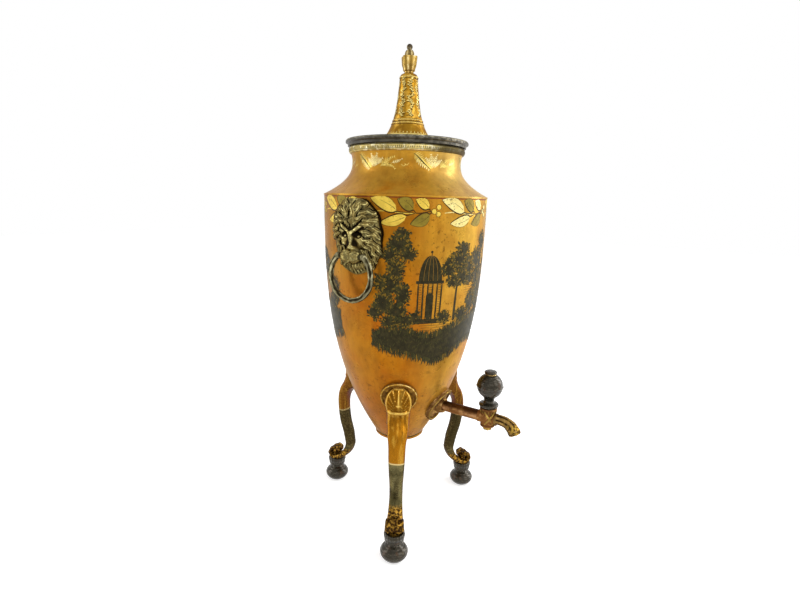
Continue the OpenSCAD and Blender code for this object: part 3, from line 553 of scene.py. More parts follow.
def japanned_tin(settings):
    """Stoved ochre varnish on tinned sheet: translucent, so the metal under it gives the gloss a golden tint. It runs
    from orange to yellow where the coats are thin, with brown stains and chips down to dark metal, painted sheen on
    the flanks and the neck, and painted shade away from the tap, along the far edge and toward the foot."""
    japan = Finish("ochre_japan_on_tin", settings.orange, metallic=0.38, specular_ior_level=0.2,
                   specular_tint=linear("#d9a548"))
    neck = japan.above(SHOULDER_Z, 1)
    thin = japan.mottle(34, 0.3, 0.62, shift=0.4, least=0.45)
    japan.coat(settings.ochre, japan.mottle(48, 0.38, 0.62, detail=3.0), japan.above(BASE_Z + 135, 120, 0.5))
    # Paler under the seam and worn on the neck, but dark in its waist
    japan.coat("#cf8e1e", japan.above(SHOULDER_Z - 45, 60), thin, 0.45)
    japan.coat("#d0a43e", neck, japan.mottle(24, 0.3, 0.56, shift=1.1), 0.75)
    japan.coat("#8e6214", japan.above(SHOULDER_Z + 10, 12), japan.above(WAIST_Z - 3, 14, 1, 0), 0.48)
    # Painted shade in brown on the upper body, on the side away from the tap
    japan.coat("#7e430f", japan.facing(0.3, 0.0), japan.above(SHOULDER_Z - 58, 50),
               japan.above(SHOULDER_Z, 1, 0.42, 0))
    # Painted sheen in yellow on the far flank, where the varnish is thin
    japan.coat("#c99c3c", japan.facing(-0.3, -0.85), thin, japan.above(WAIST_Z - 6, 10, 0.55, 0.95))
    # Painted sheen in yellow on the tap's side, strongest where the varnish is thin
    japan.coat(settings.yellow, japan.facing(0.05, 0.72), thin, japan.above(BASE_Z + 165, 150, 0.84), 0.9)
    # Painted highlight in pale yellow on the neck's tap side
    japan.coat("#e2c984", neck, japan.facing(0.3, 0.9), 0.6)
    # Painted shade in olive along the far edge of the body
    japan.coat("#7d6a20", japan.facing(-0.76, -0.97), thin, japan.above(SHOULDER_Z, 1, 0.85, 0.3))
    # Stains, streaks and smudges, thicker toward the foot, and painted shade that darkens toward the foot
    japan.coat("#744410", japan.mottle(26, 0.48, 0.7, shift=0.3), 0.55)
    # Painted shade: darker brown toward the foot, where the body turns under
    japan.coat("#86490f", japan.above(BASE_Z + 38, 76, 1, 0), 0.28)
    japan.coat("#cf9432", japan.mottle(7, 0.3, 0.75, detail=5.0, shift=0.9), 0.25)
    japan.coat("#6d3f0c", japan.mottle(5, 0.35, 0.7, stretch=(1, 1, 0.12), shift=0.5), 0.26)
    japan.coat("#4a2f10", japan.mottle(9, 0.6, 0.7, detail=5.0, shift=2.9),
               japan.above(BASE_Z + 92, 50, 1.0, 0.15), 0.55)
    # Chips down to the metal, fewer on the neck
    japan.coat("#2c1d0c", japan.mottle(3.0, 0.6, 0.64, detail=3.0, shift=1.7),
               japan.mottle(30, 0.44, 0.58, shift=2.3), japan.above(SHOULDER_Z, 1, 0.5, 0.15))
    return japan.done(japan.mottle(12, 0.2, 0.8, detail=6.0, shift=4.0), 0.2,
                      roughness=(japan.mottle(18, 0.3, 0.7, shift=3.1), 0.24, 0.38))


def gold_leaf(name, tone, tarnish, share):
    """Gold and bronze powder on size, worn thin: bright where it is whole, with dark pinholes."""
    gold = Finish(name, tone, specular_ior_level=0.2)
    patch = gold.mottle(8, 0.35, 0.68, shift=5.0)
    worn = gold.overlap(gold.mottle(1.5, 0.58, 0.64, detail=2.0, shift=6.0), gold.mottle(9, 0.42, 0.56, shift=6.5))
    gold.coat(tarnish, patch, share)
    gold.coat("#4a3316", worn, 0.9)
    return gold.done(gold.mottle(3, 0.2, 0.8, shift=7.0), 0.04, metallic=(worn, 0.5, 0.0),
                     roughness=(patch, 0.42, 0.56))


def brush_paint(name, tone, thin_tone, share):
    """Dark oil paint laid on the japan, thinner and browner where the brush ran dry."""
    paint = Finish(name, tone, roughness=0.45, specular_ior_level=0.22, specular_tint=linear("#dacb9c"))
    thin = paint.mottle(5, 0.42, 0.72, detail=5.0, shift=8.0)
    paint.coat(thin_tone, thin, share)
    return paint.done(thin, 0.05)


def cast_metal(name, tone, dark, high, metallic, rough, grain_mm=2.2, relief_mm=0.12, hollow_dark=0.0, patches=0.6,
               patch_mm=14, last_coats=None):
    """Cast brass with a worn finish: dark in its hollows, with patina and painted shade, and rubbed bright on its high
    places, with painted highlight.
    """
    metal = Finish(name, tone, metallic=metallic, specular_ior_level=0.2, specular_tint=linear("#b09a70"))
    cloud = metal.mottle(patch_mm, 0.38, 0.64, shift=9.0)
    metal.coat(dark, cloud, patches)
    if hollow_dark:
        # Patina and painted shade darken the hollows
        metal.coat("#120d06", metal.hollow(0.2, 0.64), hollow_dark)
        metal.coat("#1d150a", metal.mottle(grain_mm * 0.9, 0.56, 0.66, detail=2.0, shift=9.3), 0.6 * hollow_dark)
        # Rubbed wear and painted highlight brighten the crests
        metal.coat(high, metal.mottle(grain_mm * 2.2, 0.5, 0.64, shift=9.7, least=0.3), metal.hollow(0.45, 0.0), 0.85)
    else:
        metal.coat(high, metal.mottle(grain_mm * 2.2, 0.5, 0.64, shift=9.7), 0.85)
    if last_coats:
        last_coats(metal)
    return metal.done(metal.mottle(grain_mm, 0.2, 0.8, detail=6.0, shift=10.0), relief_mm,
                      roughness=(cloud, rough, rough + 0.16))


def stained_wood():
    """Turned fruitwood, stained black and polished: a glossy dark face, worn brown and grey in places."""
    wood = Finish("ebonised_fruitwood", "#12120c", specular_ior_level=0.42, specular_tint=linear("#cdb794"),
                  coat_weight=0.3, coat_roughness=0.07)
    grain = wood.mottle(3.0, 0.3, 0.7, stretch=(1, 1, 0.22), shift=11.0)
    wear = wood.mottle(6, 0.55, 0.68, detail=6.0, shift=11.6)
    wood.coat("#302e24", grain, 0.7)
    wood.coat("#51301c", wear, 0.5)
    wood.coat("#7a7664", wood.mottle(2.6, 0.56, 0.66, detail=5.0, stretch=(1, 1, 2.5), shift=11.9), 0.42)
    return wood.done(grain, 0.14, roughness=(wear, 0.24, 0.5))


def black_japan():
    """Black varnish over tinned sheet, rubbed through to grey metal along the edges."""
    japan = Finish("black_japan_on_tin", "#393426", roughness=0.42, specular_ior_level=0.3)
    wear = japan.mottle(5, 0.46, 0.62, detail=6.0, shift=12.0)
    rubbed = japan.overlap(wear, japan.along(TAP_SIDE, -30, 55, 0.25), japan.outward(54, 60, 0.12))
    japan.coat("#97907c", rubbed)
    return japan.done(wear, 0.08, metallic=(rubbed, 0.0, 0.6))


def tinned_sheet():
    """Hot-tinned iron inside the vase: dull grey with soft crystal patches and brown scale."""
    tin = Finish("hot_dipped_tin", "#8d8a82", metallic=0.8, roughness=0.5)
    crystals = add(tin.tree, "ShaderNodeTexVoronoi", inputs={"Vector": tin.place, "Scale": per_metre(9)})
    tin.coat("#b3b0a8", crystals.outputs["Distance"])
    scale = tin.mottle(20, 0.45, 0.7, shift=13.0)
    tin.coat("#6b5138", scale, 0.7)
    return tin.done(scale, 0.05)


def tanned_leather():
    """Thick vegetable-tanned leather, cut and squeezed: fine pores and dark edges."""
    leather = Finish("tanned_leather", "#5a3d22", roughness=0.7)
    pores = leather.mottle(0.8, 0.3, 0.7, shift=14.0)
    leather.coat("#7b5632", pores)
    return leather.done(pores, 0.1)


# ---- Vase ----

# Rows at the neck's foot that its inner wall leaves out, to stay clear of the seam
SEAM_ROWS = 8
RIM_STROKES = 190


class UrnVase(PropertyGroup):
    """Sizes of the mesh and the varnish's colours."""

    sides: IntProperty(name="Sides", description="Facets around the vase", default=192, min=24, max=512)
    rows: IntProperty(name="Rows", description="Rows of faces up the vase", default=72, min=12, max=256)
    orange: FloatVectorProperty(name="Orange", description="Colour where the varnish lies thick",
                                default=linear("#a8560a"), size=4, min=0, max=1, subtype="COLOR")
    ochre: FloatVectorProperty(name="Ochre", description="Common colour of the varnish",
                               default=linear("#bf7b12"), size=4, min=0, max=1, subtype="COLOR")
    # Yellow is also the colour of the painted sheen on the tap's side
    yellow: FloatVectorProperty(name="Yellow", description="Colour where the varnish is thin",
                                default=linear("#dfb548"), size=4, min=0, max=1, subtype="COLOR")


def vase_part(name, outer, inner, sides, materials, replaces):
    """A turned wall, japanned along its outer line and tinned along the inner one."""
    points, faces = turned(outer + inner, sides)
    outside = (len(outer) - 1) * sides
    sharpen(piece(name, points, faces, "urn", materials,
                  [0] * outside + [1] * (len(faces) - outside), replaces=replaces))


def darken_rim_on_tap_side(metal):
    """Darkens the rim on the tap's side."""
    metal.coat("#2e2715", metal.along(TAP_SIDE, 12, 34), 0.85)


def build_vase(settings):
    """The body and the neck with their tinned insides, the rim, and the painted lines."""
    japan = japanned_tin(settings)
    sheet = [japan, tinned_sheet()]
    levels = [SHOULDER_Z - BODY_H * (1 - math.cos(math.pi / 2 * i / settings.rows))
              for i in range(settings.rows, -1, -1)]
    vase_part("vase_body", [(wall_radius(z), z) for z in levels],
              [(wall_radius(z) - SHEET_T * wall_lean(z), z) for z in reversed(levels)],
              settings.sides, sheet, ["body_cone", "body_shell"])

    levels = [SEAM_TOP_Z + (RIM_Z - SEAM_TOP_Z) * t for t in steps(settings.rows)]
    seam = [(BODY_R - SHEET_T, SHOULDER_Z), (BODY_R + SEAM_OUT, SHOULDER_Z), (BODY_R + SEAM_OUT, SEAM_TOP_Z)]
    vase_part("vase_neck", seam + [(neck_radius(z), z) for z in levels] + [(MOUTH_R, MOUTH_Z)],
              [(MOUTH_R - SHEET_T, MOUTH_Z)]
              + [(neck_radius(z) - 1.5 * SHEET_T, z) for z in reversed(levels[SEAM_ROWS:])],
              settings.sides, sheet, ["shoulder_neck"])
    finish_solids(japan, "base_cap")

    # The rim over the mouth is pale gilt, darker on the tap's side, with a row of fine upright strokes along it.
    finish_solids(cast_metal("pale_gilt_brass", "#dcc67c", "#6a5828", "#fbf3cc", 0.6, 0.34,
                             last_coats=darken_rim_on_tap_side), "neck_rim")
    rim = Paint(rim_radius, MOUTH_R + RIM_T)
    chance = random.Random(RIM_SEED)
    middle = RIM_Z + RIM_H / 2
    for k in range(RIM_STROKES):
        s = rim.around * (k + chance.uniform(-0.2, 0.2)) / RIM_STROKES
        rim.dab((s, middle - 1.2), (s + 0.3, middle + chance.uniform(0.7, 1.5)), 0.34, 0, 0)
    for z in (middle - 1.7, middle + 1.8):
        rim.band(z, z + 0.35, 0, 0)
    rim.make("rim_strokes", "urn", "gilt_brass", [brush_paint("rim_ink_line", "#2c2515", "#57451f", 0.5)])

    # A dark line and a worn gilt one run around the foot of the vase.
    foot = Paint(wall_radius, BASE_R)
    foot.band(BASE_Z + 0.3, BASE_Z + 1.6, 0, 0)
    foot.band(BASE_Z + 2.1, BASE_Z + 2.7, 0, 1)
    foot.make("base_lines", "urn", "japanned_tin", [
        brush_paint("base_dark_line", "#35240f", "#7c4d18", 0.7),
        gold_leaf("base_gilt_line", "#cfa244", "#7a5420", 0.9)])

    # A red-brown line runs under the shoulder seam.
    seam = Paint(wall_radius, BODY_R)
    seam.band(SHOULDER_Z - 1.3, SHOULDER_Z - 0.2, 0, 0)
    seam.make("shoulder_line", "urn", "japanned_tin", [brush_paint("red_brown_line", "#86401a", "#a9622a", 0.7)])


# ---- Leaf band ----

class UrnGarland(PropertyGroup):
    """Spacing of the leaf band."""

    repeats: IntProperty(name="Repeats", description="Times the leaf pattern repeats around", default=8, min=4, max=16)
    start: FloatProperty(name="Start", description="Angle of the first berries from +X",
                         default=math.radians(231.3), subtype="ANGLE")


GOLD, OLIVE, PAINTED_HIGHLIGHT_GOLD, INK = range(4)


def garland_leaf(paint, base, tip, half_w, bend, metal, node):
    """One gilt leaf with its ink line, which runs on from its base to the node on the stem."""
    base, tip, node = Vector(base), Vector(tip), Vector(node)
    paint.leaf(base, tip, half_w, bend, 1, metal)
    along = tip - base
    left = left_of(along).normalized()
    shade = 1 if tip.y > base.y else -1

    def beside(t, offset):
        """A point beside the leaf's bowed middle, at a share of its length."""
        return base + along * t + left * (bend * math.sin(math.pi * t) + offset)

    def edge(t):
        """Half the leaf's width at a share of its length."""
        return half_w * math.sin(math.pi * t ** 0.8) ** 0.8

    line = [beside(t, shade * (edge(t) + 0.25)) for t in (1 - j / 10 for j in range(11))]
    line += curve_points(line[-1], line[-1].lerp(base, 0.6) - along * 0.12, node.lerp(base, 0.4), node, 6)[1:]
    widths = [0.35 + 0.75 * math.sin(math.pi * min(1, (i + 1) / len(line))) for i in range(len(line))]
    paint.ribbon(line, widths, 2, INK)
    vein = [beside(t, -shade * half_w * 0.12) for t in (0.08, 0.2, 0.32, 0.44, 0.56, 0.68)]
    paint.ribbon(vein, [0.42, 0.36, 0.3, 0.24, 0.18, 0.1], 2, INK)
    paint.ribbon([beside(t, -shade * edge(t)) for t in (0.15, 0.3, 0.45, 0.6, 0.75, 0.88, 1)], 0.3, 2, INK)


def build_garland(settings):
    """The band of gilt leaves and berries under the shoulder seam."""
    paint = Paint(wall_radius, BODY_R)
    pitch = paint.around / settings.repeats
    chance = random.Random(GARLAND_SEED)
    for k in range(settings.repeats):
        origin = settings.start * BODY_R + k * pitch

        def at(s, z):
            """A point of this repeat, moved a little, as a hand places it."""
            return (origin + s + chance.uniform(-0.5, 0.5), z + chance.uniform(-0.4, 0.4))

        # One repeat in four gets a paler gilt, as painted highlight
        first = PAINTED_HIGHLIGHT_GOLD if k % 4 == 1 else GOLD
        node_a = at(-18.6, 326.5)
        node_b = at(-5.0, 328.2)
        garland_leaf(paint, at(-34.8, 328.2), at(-58.4, 338.4), 5.6, -1.6, first, node_a)
        garland_leaf(paint, at(-26.5, 324.0), at(-49.5, 317.6), 4.6, 1.4, first, node_a)
        garland_leaf(paint, at(-21.0, 329.4), at(-34.6, 338.2), 5.2, -1.4, OLIVE, node_a)
        garland_leaf(paint, at(-7.6, 330.2), at(-19.2, 337.8), 4.3, -1.2, first, node_b)
        garland_leaf(paint, at(-7.2, 326.2), at(-23.6, 316.8), 5.0, 1.6, OLIVE, node_b)
        paint.ribbon(curve_points(at(-56, 327), at(-44, 329.5), at(-30, 325), node_a, 14), 0.8, 0, first)
        paint.ribbon(curve_points(node_a, at(-14, 325.6), at(-9, 328.6), node_b, 8), 0.75, 2, INK)
        for s, z in ((-2.6, 328.6), (1.4, 332.0), (1.4, 325.8)):
            centre = at(s, z)
            paint.oval(centre, 2.2, 2.2, 1, first)
            paint.ring(centre, 2.3, 0.4, 2, INK)
    paint.make("gilt_garland", "urn", "gilt_brass", [
        gold_leaf("gold_leaf_bright", "#eccb52", "#b39330", 0.5),
        gold_leaf("gold_leaf_tarnished", "#96802a", "#645a20", 0.7),
        gold_leaf("gold_leaf_painted_highlight", "#ecdc92", "#c9b05a", 0.6),
        brush_paint("brown_ink_line", "#33230f", "#6b4316", 0.4)])


# ---- Landscape ----

class UrnLandscape(PropertyGroup):
    """How the parks are brushed in."""

    strokes: FloatProperty(name="Strokes", description="How thickly the leaves and grass are brushed in",
                           default=1.0, min=0.2, max=3)
    seed: IntProperty(name="Seed", description="Changes where each brush stroke falls", default=7, min=0)


DARK, MID, LIGHT, LINE = range(4)


class Landscape:
    """Brushed trees, grass and buildings, at places given as (angle, height) in degrees and mm."""

    def __init__(self, settings):
        self.paint = Paint(wall_radius, BODY_R)
        self.chance = random.Random(settings.seed)
        self.strokes = settings.strokes

    def at(self, angle, z):
        """The place on the vase at an angle and a height."""
        return Vector((math.radians(angle) * BODY_R, z))

    def tone(self, light=0.12):
        """Draws the paint for a stroke, with a share of light ones."""
        pick = self.chance.random()
        return LIGHT if pick < light else MID if pick < 0.45 + light else DARK

    def grass(self, edge, up, per_mm=2.6, lean=0.0):
        """Short strokes that stand on a line, or hang from it where up is negative."""
        chance = self.chance
        for a, b in zip(edge, edge[1:]):
            for _ in range(round((b - a).length * per_mm * self.strokes)):
                base = a.lerp(b, chance.random()) - Vector((0, up * 0.3))
                tip = base + Vector((chance.gauss(lean, 0.34) * abs(up), up * chance.uniform(0.75, 1.5)))
                self.paint.dab(base, tip, chance.uniform(0.45, 0.85), chance.randint(2, 4), self.tone(0.06),
                               chance.uniform(-0.5, 0.5))

    def bank(self, high, low, up, down):
        """A dark stretch of ground between two lines, with grass on both of its edges."""
        high, low = ([Vector(p) for p in smooth_rows([tuple(self.at(*p)) for p in line], 8)] for line in (high, low))
        self.paint.grid([[a.lerp(b, t) for a, b in zip(low, high)] for t in steps(8)], 1, DARK)
        self.grass(high, up)
        self.grass(low, -down, 2.0, 0.15)
        for a, b in zip(low, high):
            for _ in range(round(2 * self.strokes)):
                base = a.lerp(b, self.chance.uniform(0.05, 0.95))
                tip = base + Vector((self.chance.gauss(0, 1.6), self.chance.uniform(1.5, 4.5)))
                self.paint.dab(base, tip, 0.45, 4, MID)

    def clump(self, centre, half_w, half_h, light=0.12):
        """A mass of leaves: a dark heart with strokes that fan out of it."""
        chance = self.chance
        self.paint.oval(centre, half_w * 0.8, half_h * 0.8, 1, DARK)
        for _ in range(round(half_w * half_h * 1.5 * self.strokes)):
            a = chance.uniform(0, 2 * math.pi)
            out = math.sqrt(chance.uniform(0.15, 1))
            base = centre + Vector((math.cos(a) * half_w, math.sin(a) * half_h)) * out * 0.9
            way = Vector((math.cos(a) + chance.gauss(0, 0.5), math.sin(a) + 0.35 + chance.gauss(0, 0.5))).normalized()
            self.paint.dab(base, base + way * chance.uniform(1.6, 3.8), chance.uniform(0.4, 0.85),
                           chance.randint(2, 5), self.tone(light if out > 0.4 else 0.08))

    def clumps(self, rows, light=0.12):
        """Masses of leaves, each as its angle, height, half width and half height."""
        for angle, z, half_w, half_h in rows:
            self.clump(self.at(angle, z), half_w, half_h, light)

    def tree(self, foot, height, crown, clumps, light=0.12):
        """A trunk with boughs, under clumps given as (across, up, half width, half height) about its top."""
        top = foot + Vector((crown * 0.12, height))
        trunk = curve_points(foot, foot + Vector((-1.5, height * 0.3)), top - Vector((2.5, height * 0.35)), top, 14)
        self.paint.ribbon(trunk, [3.4 - 2.2 * t for t in steps(14)], 2, DARK)
        self.paint.ribbon([p + Vector((0.7, 0)) for p in trunk], 0.3, 3, MID)
        fork = trunk[9]
        for across, up, half_w, half_h in clumps:
            centre = top + Vector((across, up))
            self.paint.ribbon(curve_points(fork, fork.lerp(centre, 0.3) + Vector((0, 2)),
                                           fork.lerp(centre, 0.7), centre, 8), 0.9, 2, DARK)
            self.clump(centre, half_w, half_h, light)

    def poplar(self, foot, height, half_w):
        """A slim tree as a stack of small clumps."""
        for share in steps(5):
            width = half_w * (0.55 + 0.45 * math.sin(math.pi * (0.25 + 0.7 * share)))
            self.clump(foot + Vector((0, height * (0.12 + 0.88 * share))), width * (1 - 0.45 * share), height / 9,
                       0.06)

    def pavilion(self, foot, width, height):
        """A round garden temple: steps, columns, a cornice, a dome and a ball."""
        half = width / 2

        def block(left, right, low, high, layer, top_left=None, top_right=None):
            """A dark patch that stands on the foot, with a top as wide as its base unless it is given."""
            corners = ((left, low), (right, low), (top_right or right, high), (top_left or left, high))
            self.paint.block([foot + Vector(p) for p in corners], layer, DARK)

        def line(points, width, layer, tone=LINE):
            """A line through points over the foot."""
            self.paint.ribbon([foot + Vector(p) for p in points], width, layer, tone)

        for k in range(3):
            w, z = half + 2.4 - 1.1 * k, 1.5 * k
            block(-w, w, z, z + 1.4, 2)
            line(((-w, z + 1.4), (w, z + 1.4)), 0.3, 3)
        shaft_top = 0.56 * height
        for t in steps(14):
            z = 5 + (shaft_top - 6) * t
            line([(half * w, z) for w in (-0.86, 0, 0.86)], 0.34, 2, MID)
        door_half, door_top = half * 0.3, 0.38 * height
        block(-door_half, door_half, 4.4, door_top, 2)
        self.paint.oval(foot + Vector((0, door_top)), door_half, door_half, 2, DARK, share=0.5)
        for t in steps(5):
            s = half * (-1 + 2 * t) * 0.94
            block(s - 0.85, s + 0.85, 4.2, shaft_top, 3, s - 0.65, s + 0.65)
            line(((s - 0.5, 4.6), (s - 0.4, shaft_top - 0.4)), 0.42, 4)
        cornice = shaft_top + 2.6
        block(-half - 1.4, half + 1.4, shaft_top, cornice, 3)
        for z in (shaft_top + 0.5, cornice - 0.4):
            line(((-half - 1.2, z), (half + 1.2, z)), 0.35, 4)
        dome_h = height - cornice - 4
        self.paint.oval(foot + Vector((0, cornice)), half * 0.92, dome_h, 3, DARK, share=0.5)
        for k in (-0.6, -0.2, 0.2, 0.6):
            line([(half * 0.92 * k * math.cos(a), cornice + dome_h * math.sin(a))
                  for a in (math.pi / 2 * t for t in steps(8))], 0.3, 4)
        line(((0, cornice + dome_h), (0, height)), 0.7, 3, DARK)
        self.paint.oval(foot + Vector((0, height - 1)), 1.1, 1.1, 3, DARK)

    def bridge(self, left, right, rise):
        """One low arch with a parapet."""
        middle, half = (left + right) / 2, (right - left).length * 0.36
        top = [left.lerp(right, t) + Vector((0, rise * math.sin(math.pi * t))) for t in steps(16)]
        under = [middle + Vector((-math.cos(math.pi * t) * half, math.sin(math.pi * t) * rise * 0.78 - 2))
                 for t in steps(16)]
        self.paint.grid([[a.lerp(b, t) for a, b in zip(under, top)] for t in steps(4)], 2, DARK)
        self.paint.ribbon([p + Vector((0, 1.2)) for p in top], 0.5, 3, LINE)
        for p in top[1::2]:
            self.paint.ribbon([p, p + Vector((0, 2.6))], 0.6, 3, DARK)
        self.paint.ribbon([p + Vector((0, 2.8)) for p in top], 0.7, 3, DARK)

    def ripples(self, centre, half_w, lines=5):
        """Level lines of still water or far ground."""
        for k in range(lines):
            w = half_w * self.chance.uniform(0.4, 1)
            shift = self.chance.uniform(-0.3, 0.3) * half_w
            at = centre + Vector((shift, -2.2 * k))
            self.paint.ribbon([at + Vector((w * (j / 5 - 1), self.chance.uniform(-0.25, 0.25))) for j in range(11)],
                              0.32, 1, MID)


def build_landscape(settings):
    """A wooded park with a temple, in dark oil paint, on the front and on the back of the vase."""
    land = Landscape(settings)
    at = land.at

    # Front: a park wood by the left handle, a temple, great trees, and a bridge toward the right handle.
    land.bank([(189, 214), (198, 221), (212, 223), (222, 218), (233, 216), (243, 220), (262, 227), (282, 232),
               (303, 227), (336, 234)],
              [(189, 211), (200, 204), (214, 201), (226, 196), (238, 192), (250, 197), (268, 208), (286, 206),
               (303, 199), (336, 215)], 6, 7)
    land.clumps(((192, 238, 7, 7), (198, 248, 10, 11), (207, 240, 10, 10), (202, 264, 10, 10), (211, 256, 7, 12),
                 (206, 276, 8, 10), (196, 266, 6, 8), (212, 232, 9, 6), (202, 230, 9, 6)), 0.24)
    land.tree(at(209, 232), 64, -8,
              ((0, 4, 11, 8), (-8, -5, 8, 7), (8, -4, 8, 6), (2, 12, 8, 6), (-3, -14, 8, 6)), 0.24)
    land.pavilion(at(229, 229), 24, 66)
    land.ripples(at(236, 227), 20, 3)
    land.clump(at(219, 234), 6, 7, 0.2)
    land.tree(at(250, 230), 50, 10, ((0, 6, 14, 9), (-12, -1, 10, 8), (12, 0, 11, 8), (4, -10, 11, 7),
                                     (-7, -13, 8, 6), (15, -12, 8, 6), (3, 16, 9, 6)), 0.26)
    land.clumps(((241, 234, 8, 6), (257, 234, 9, 8)), 0.24)
    land.ripples(at(262, 262), 12)
    land.clumps(((267, 246, 9, 13), (272, 268, 9, 13), (268, 286, 9, 10), (277, 302, 8, 9), (277, 258, 8, 18)), 0.26)
    for angle, height in ((276, 66), (283, 52)):
        land.poplar(at(angle, 236), height, 5.5)
    land.bridge(at(290, 236), at(314, 236), 12)
    land.clumps(((322, 250, 9, 12), (330, 262, 9, 14), (334, 243, 8, 8)))

    # Back: a long bank with a hanging wood, a small temple and poplars.
    land.bank([(24, 230), (44, 236), (66, 231), (90, 238), (114, 232), (134, 238), (160, 230)],
              [(24, 212), (44, 206), (66, 202), (90, 208), (114, 200), (134, 206), (160, 214)], 6, 8)
    land.clumps(((156, 252, 9, 14), (150, 240, 9, 8), (148, 268, 6, 9), (30, 250, 9, 14), (37, 242, 7, 7)))
    land.tree(at(139, 236), 44, -8, ((0, 5, 10, 6), (-9, -2, 7, 5), (9, -2, 7, 5), (1, -9, 8, 4)), 0.14)
    for angle, height in ((124, 52), (118, 44), (52, 50)):
        land.poplar(at(angle, 235), height, 5)
    land.pavilion(at(98, 236), 19, 46)
    land.ripples(at(84, 256), 12)
    land.tree(at(70, 234), 44, 9, ((0, 6, 11, 6), (-10, -1, 8, 5), (10, -1, 8, 6), (2, -9, 8, 4)), 0.14)
    land.paint.make("painted_landscape", "urn", "japanned_tin", [
        brush_paint("lamp_black_oil", "#272417", "#4a4329", 0.75),
        brush_paint("olive_oil", "#3f3e22", "#5a4a24", 0.5),
        brush_paint("ochre_highlight_oil", "#8a6c26", "#66501e", 0.5),
        brush_paint("fine_ochre_line", "#a4782f", "#7a5522", 0.4)])


# ---- Neck sprays ----

class UrnSprays(PropertyGroup):
    """Spacing of the sprays."""

    repeats: IntProperty(name="Repeats", description="Sprays around the neck", default=6, min=3, max=12)
    start: FloatProperty(name="Start", description="Angle at which the first spray begins, from +X",
                         default=math.radians(218), subtype="ANGLE")


def fern(paint, rib, barb, count, material, lean=0.9, rib_w=0.5):
    """A lacy frond: thin strokes that lean forward on both sides of a rib, shorter toward its tip."""
    last = len(rib) - 1
    paint.ribbon(rib, [rib_w * (1 - 0.7 * t) for t in steps(last)], 1, material)
    for j in range(count):
        share = (j + 0.6) / count
        at = share * last
        i = min(int(at), last - 1)
        point = rib[i].lerp(rib[i + 1], at - i)
        way = (rib[i + 1] - rib[i]).normalized()
        size = barb * (0.45 + 0.75 * math.sin(math.pi * min(share + 0.25, 1)))
        for side in (-1, 1):
            tip = point + way * size * lean * 0.75 + left_of(way) * side * size * 0.8
            paint.dab(point, tip, 0.3, 2, material, -side * size * 0.1)


def build_sprays(settings):
    """Sprays of gilt leaf, feathers and fern on the neck."""
    paint = Paint(neck_radius, WAIST_R)
    pitch = paint.around / settings.repeats
    chance = random.Random(SPRAY_SEED)
    bright, pale, ink = range(3)
    for k in range(settings.repeats):
        origin = settings.start * WAIST_R + k * pitch

        def at(s, z):
            """A point of this spray."""
            return Vector((origin + s, z))

        # A narrow leaf slants down with an ink rib, and feathers hang from its lower side.
        root, end = at(0, 377.2), at(15, 364.6)
        paint.leaf(root, end, 0.9, 0.8, 1, bright)
        rib = curve_points(root, root + Vector((4, -2)), end + Vector((-5, 3.5)), end, 12)
        fern(paint, rib, 4.8, 12, bright, lean=0.6)
        fern(paint, [p + Vector((-1.4, -1.2)) for p in rib[3:]], 3.2, 7, pale, lean=0.8, rib_w=0.3)
        paint.ribbon(rib, [0.3 + 0.75 * math.sin(math.pi * t) for t in steps(12)], 3, ink)

        # A fan of pale feathers stands by its tip.
        root = at(18.5, 363.2)
        for a, size, bend in ((150, 9.5, -1.5), (126, 12.8, -1.4), (102, 13.8, -0.4), (76, 14.2, 0.8),
                              (48, 12.8, 1.8)):
            way = polar(math.radians(a))
            left = left_of(way)
            rib = curve_points(root, root + way * size * 0.35 + left * bend, root + way * size * 0.7 + left * bend,
                               root + way * size, 10)
            fern(paint, rib[2:], 3.0 * chance.uniform(0.85, 1.15), 6, pale if a < 140 else bright, lean=1.3,
                 rib_w=0.4)

        # Gilt fronds run on from it, one up and one hooked down, with curls after them.
        root = at(25.5, 366)
        fern(paint, curve_points(root, root + Vector((3, 3)), at(33, 373.5), at(38.5, 374.2), 10), 3.0, 9, bright)
        fern(paint, curve_points(root + Vector((2, 1)), at(31, 368.5), at(36, 368), at(39.5, 363.6), 10), 2.4, 8,
             bright)
        fern(paint, curve_points(at(36, 369), at(40, 370.4), at(42, 370), at(45.5, 372.6), 8), 1.7, 6, pale,
             rib_w=0.35)
        for j in range(2):
            tip = at(46.5 + 2.6 * j, 366.2 + 0.9 * j)
            paint.ribbon([tip + Vector(p) for p in ((-1.8, 1.6), (-0.6, 0.1), (0.8, 0.2), (2.0, 1.9))], 0.4, 1,
                         bright)
    paint.make("gilt_neck_sprays", "urn", "gilt_brass", [
        gold_leaf("spray_gold_bright", "#f2da74", "#cda944", 0.35),
        gold_leaf("spray_gold_pale", "#fbefae", "#dcc670", 0.5),
        brush_paint("spray_ink_line", "#2e220d", "#5f4418", 0.4)])


# ---- Lid and finial ----

LID_WIRE_R = 0.9
LID_RISE = 5.9
ROD_HOLE_R = 1.9
SPIRE_BORE_R = 2.3
COLLAR_TICKS = 36


class UrnLid(PropertyGroup):
    """Ornament on the spire and the cup."""

    columns: IntProperty(name="Vine columns", description="Columns of engraved leaves around the spire",
                         default=8, min=3, max=12)
    petals: IntProperty(name="Petals", description="Petals of the cup on the spire", default=4, min=3, max=8)


